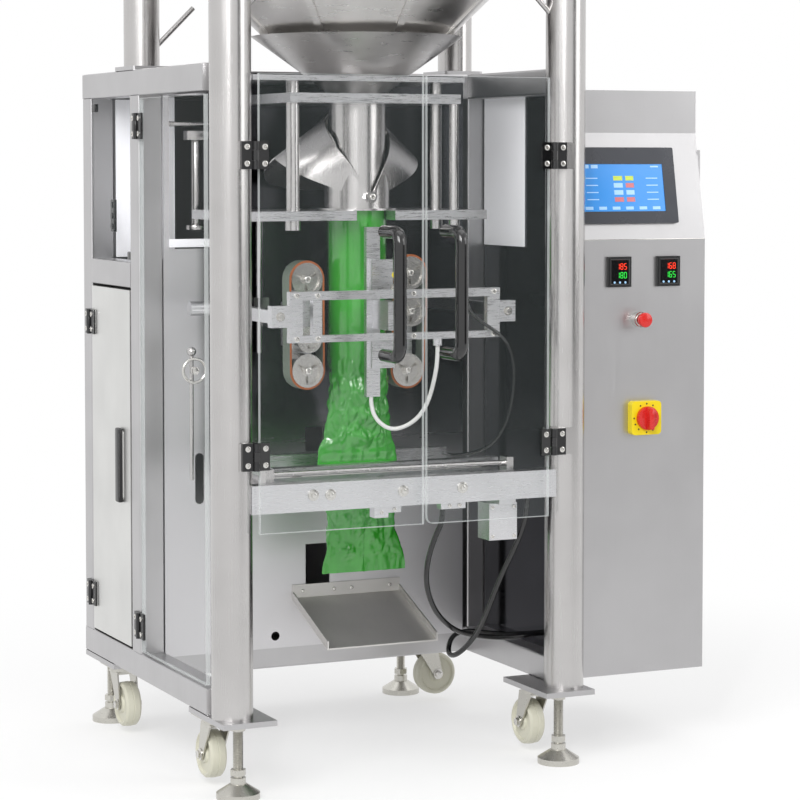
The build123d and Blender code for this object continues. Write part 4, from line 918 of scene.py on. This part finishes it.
# The least share of plain white in the floor, and the surroundings' strength on matt surfaces
FLOOR_GLOW = 0.55
SOFT_LIGHT = 0.55


def build_world():
    """White surroundings for the eye and for reflections, with a softer light on matt surfaces."""
    world = bpy.data.worlds.new("studio")
    bpy.context.scene.world = world
    world.use_nodes = True
    tree = world.node_tree
    tree.nodes.clear()
    strength = add_node(tree, "ShaderNodeMapRange", values={"To Min": SOFT_LIGHT, "To Max": 1.0},
                        links={"Value": white_rays(tree)})
    light = add_node(tree, "ShaderNodeBackground", values={"Color": (1, 1, 1, 1)},
                     links={"Strength": strength.outputs[0]})
    add_node(tree, "ShaderNodeOutputWorld", links={"Surface": light.outputs[0]})


def white_rays(tree):
    """1 for the rays that show the white background: to the camera, in gloss and through clear things."""
    path = add_node(tree, "ShaderNodeLightPath")
    seen = add_node(tree, "ShaderNodeMath", {"operation": "MAXIMUM"},
                    links={0: path.outputs["Is Camera Ray"], 1: path.outputs["Is Glossy Ray"]})
    seen = add_node(tree, "ShaderNodeMath", {"operation": "MAXIMUM"},
                    links={0: seen.outputs[0], 1: path.outputs["Is Transmission Ray"]})
    return seen.outputs[0]


def build_floor():
    """A pale floor that takes the machine's shadow near it and turns to plain white further out."""
    clear_selection()
    bpy.ops.mesh.primitive_plane_add(size=60, location=(0, 0, 0))
    floor = bpy.context.object
    floor.name = "studio_floor"
    material, tree = start_material("pale_floor")
    place = add_node(tree, "ShaderNodeTexCoord")
    far = add_node(tree, "ShaderNodeVectorMath", {"operation": "LENGTH"}, links={0: place.outputs["Object"]})
    share = add_node(tree, "ShaderNodeMapRange", {"interpolation_type": "SMOOTHSTEP"},
                     {"From Min": FLOOR_NEAR, "From Max": FLOOR_FAR, "To Min": FLOOR_GLOW},
                     {"Value": far.outputs["Value"]})
    matt = add_node(tree, "ShaderNodeBsdfDiffuse", values={"Color": FLOOR_COLOUR})
    strength = add_node(tree, "ShaderNodeMapRange", values={"To Min": SOFT_LIGHT, "To Max": 1.0},
                        links={"Value": white_rays(tree)})
    white = add_node(tree, "ShaderNodeEmission", values={"Color": (1, 1, 1, 1)},
                     links={"Strength": strength.outputs[0]})
    both = add_node(tree, "ShaderNodeMixShader",
                    links={0: share.outputs[0], 1: matt.outputs[0], 2: white.outputs[0]})
    finish_material(tree, both)
    floor.data.materials.append(material)


def reflected_card(name, size, place, aim, value):
    """A studio card that only reflections see."""
    clear_selection()
    bpy.ops.mesh.primitive_plane_add(size=1, location=place)
    card = bpy.context.object
    card.name = name
    card.scale = (size[0], size[1], 1)
    card.rotation_euler = (Vector(aim) - Vector(place)).to_track_quat("Z", "Y").to_euler()
    card.visible_camera = False
    card.visible_diffuse = False
    card.visible_shadow = False
    card.visible_transmission = False
    material, tree = start_material(name + "_cloth")
    shader = add_node(tree, "ShaderNodeEmission", values={"Color": (value, value, value, 1), "Strength": 1.0})
    finish_material(tree, shader)
    card.data.materials.append(material)


def area_lamp(name, place, aim, size, watts):
    data = bpy.data.lights.new(name, "AREA")
    data.shape = "RECTANGLE"
    data.size, data.size_y = size
    data.energy = watts
    lamp = bpy.data.objects.new(name, data)
    bpy.context.scene.collection.objects.link(lamp)
    lamp.location = place
    lamp.rotation_euler = (Vector(aim) - Vector(place)).to_track_quat("-Z", "Y").to_euler()


def build_camera():
    data = bpy.data.cameras.new("camera")
    data.sensor_width = 36.0
    data.lens = CAMERA_LENS
    data.shift_y = CAMERA_SHIFT_UP
    camera = bpy.data.objects.new("camera", data)
    bpy.context.scene.collection.objects.link(camera)
    camera.location = CAMERA_PLACE
    camera.rotation_euler = (math.radians(90 - CAMERA_DIP_DEG), 0, math.radians(CAMERA_TURN_DEG))
    bpy.context.scene.camera = camera


build_world()
build_floor()
build_camera()
middle = (0, 0, 0.8)
area_lamp("key_lamp", (-3.2, -3.0, 3.4), middle, (2.4, 2.4), 110)
area_lamp("fill_lamp", (3.4, -3.4, 2.2), middle, (2.0, 2.6), 45)
area_lamp("top_lamp", (0.3, 0.2, 4.2), middle, (4.4, 4.4), 62)
area_lamp("strip_lamp", (-2.2, -3.6, 2.6), (-0.1, -0.1, 0.6), (0.25, 1.6), 34)
reflected_card("front_right_card", (4.0, 2.4), (3.2, -4.2, 1.45), (0, 0, 1.0), 0.03)
bpy.context.scene.view_settings.view_transform = "Standard"
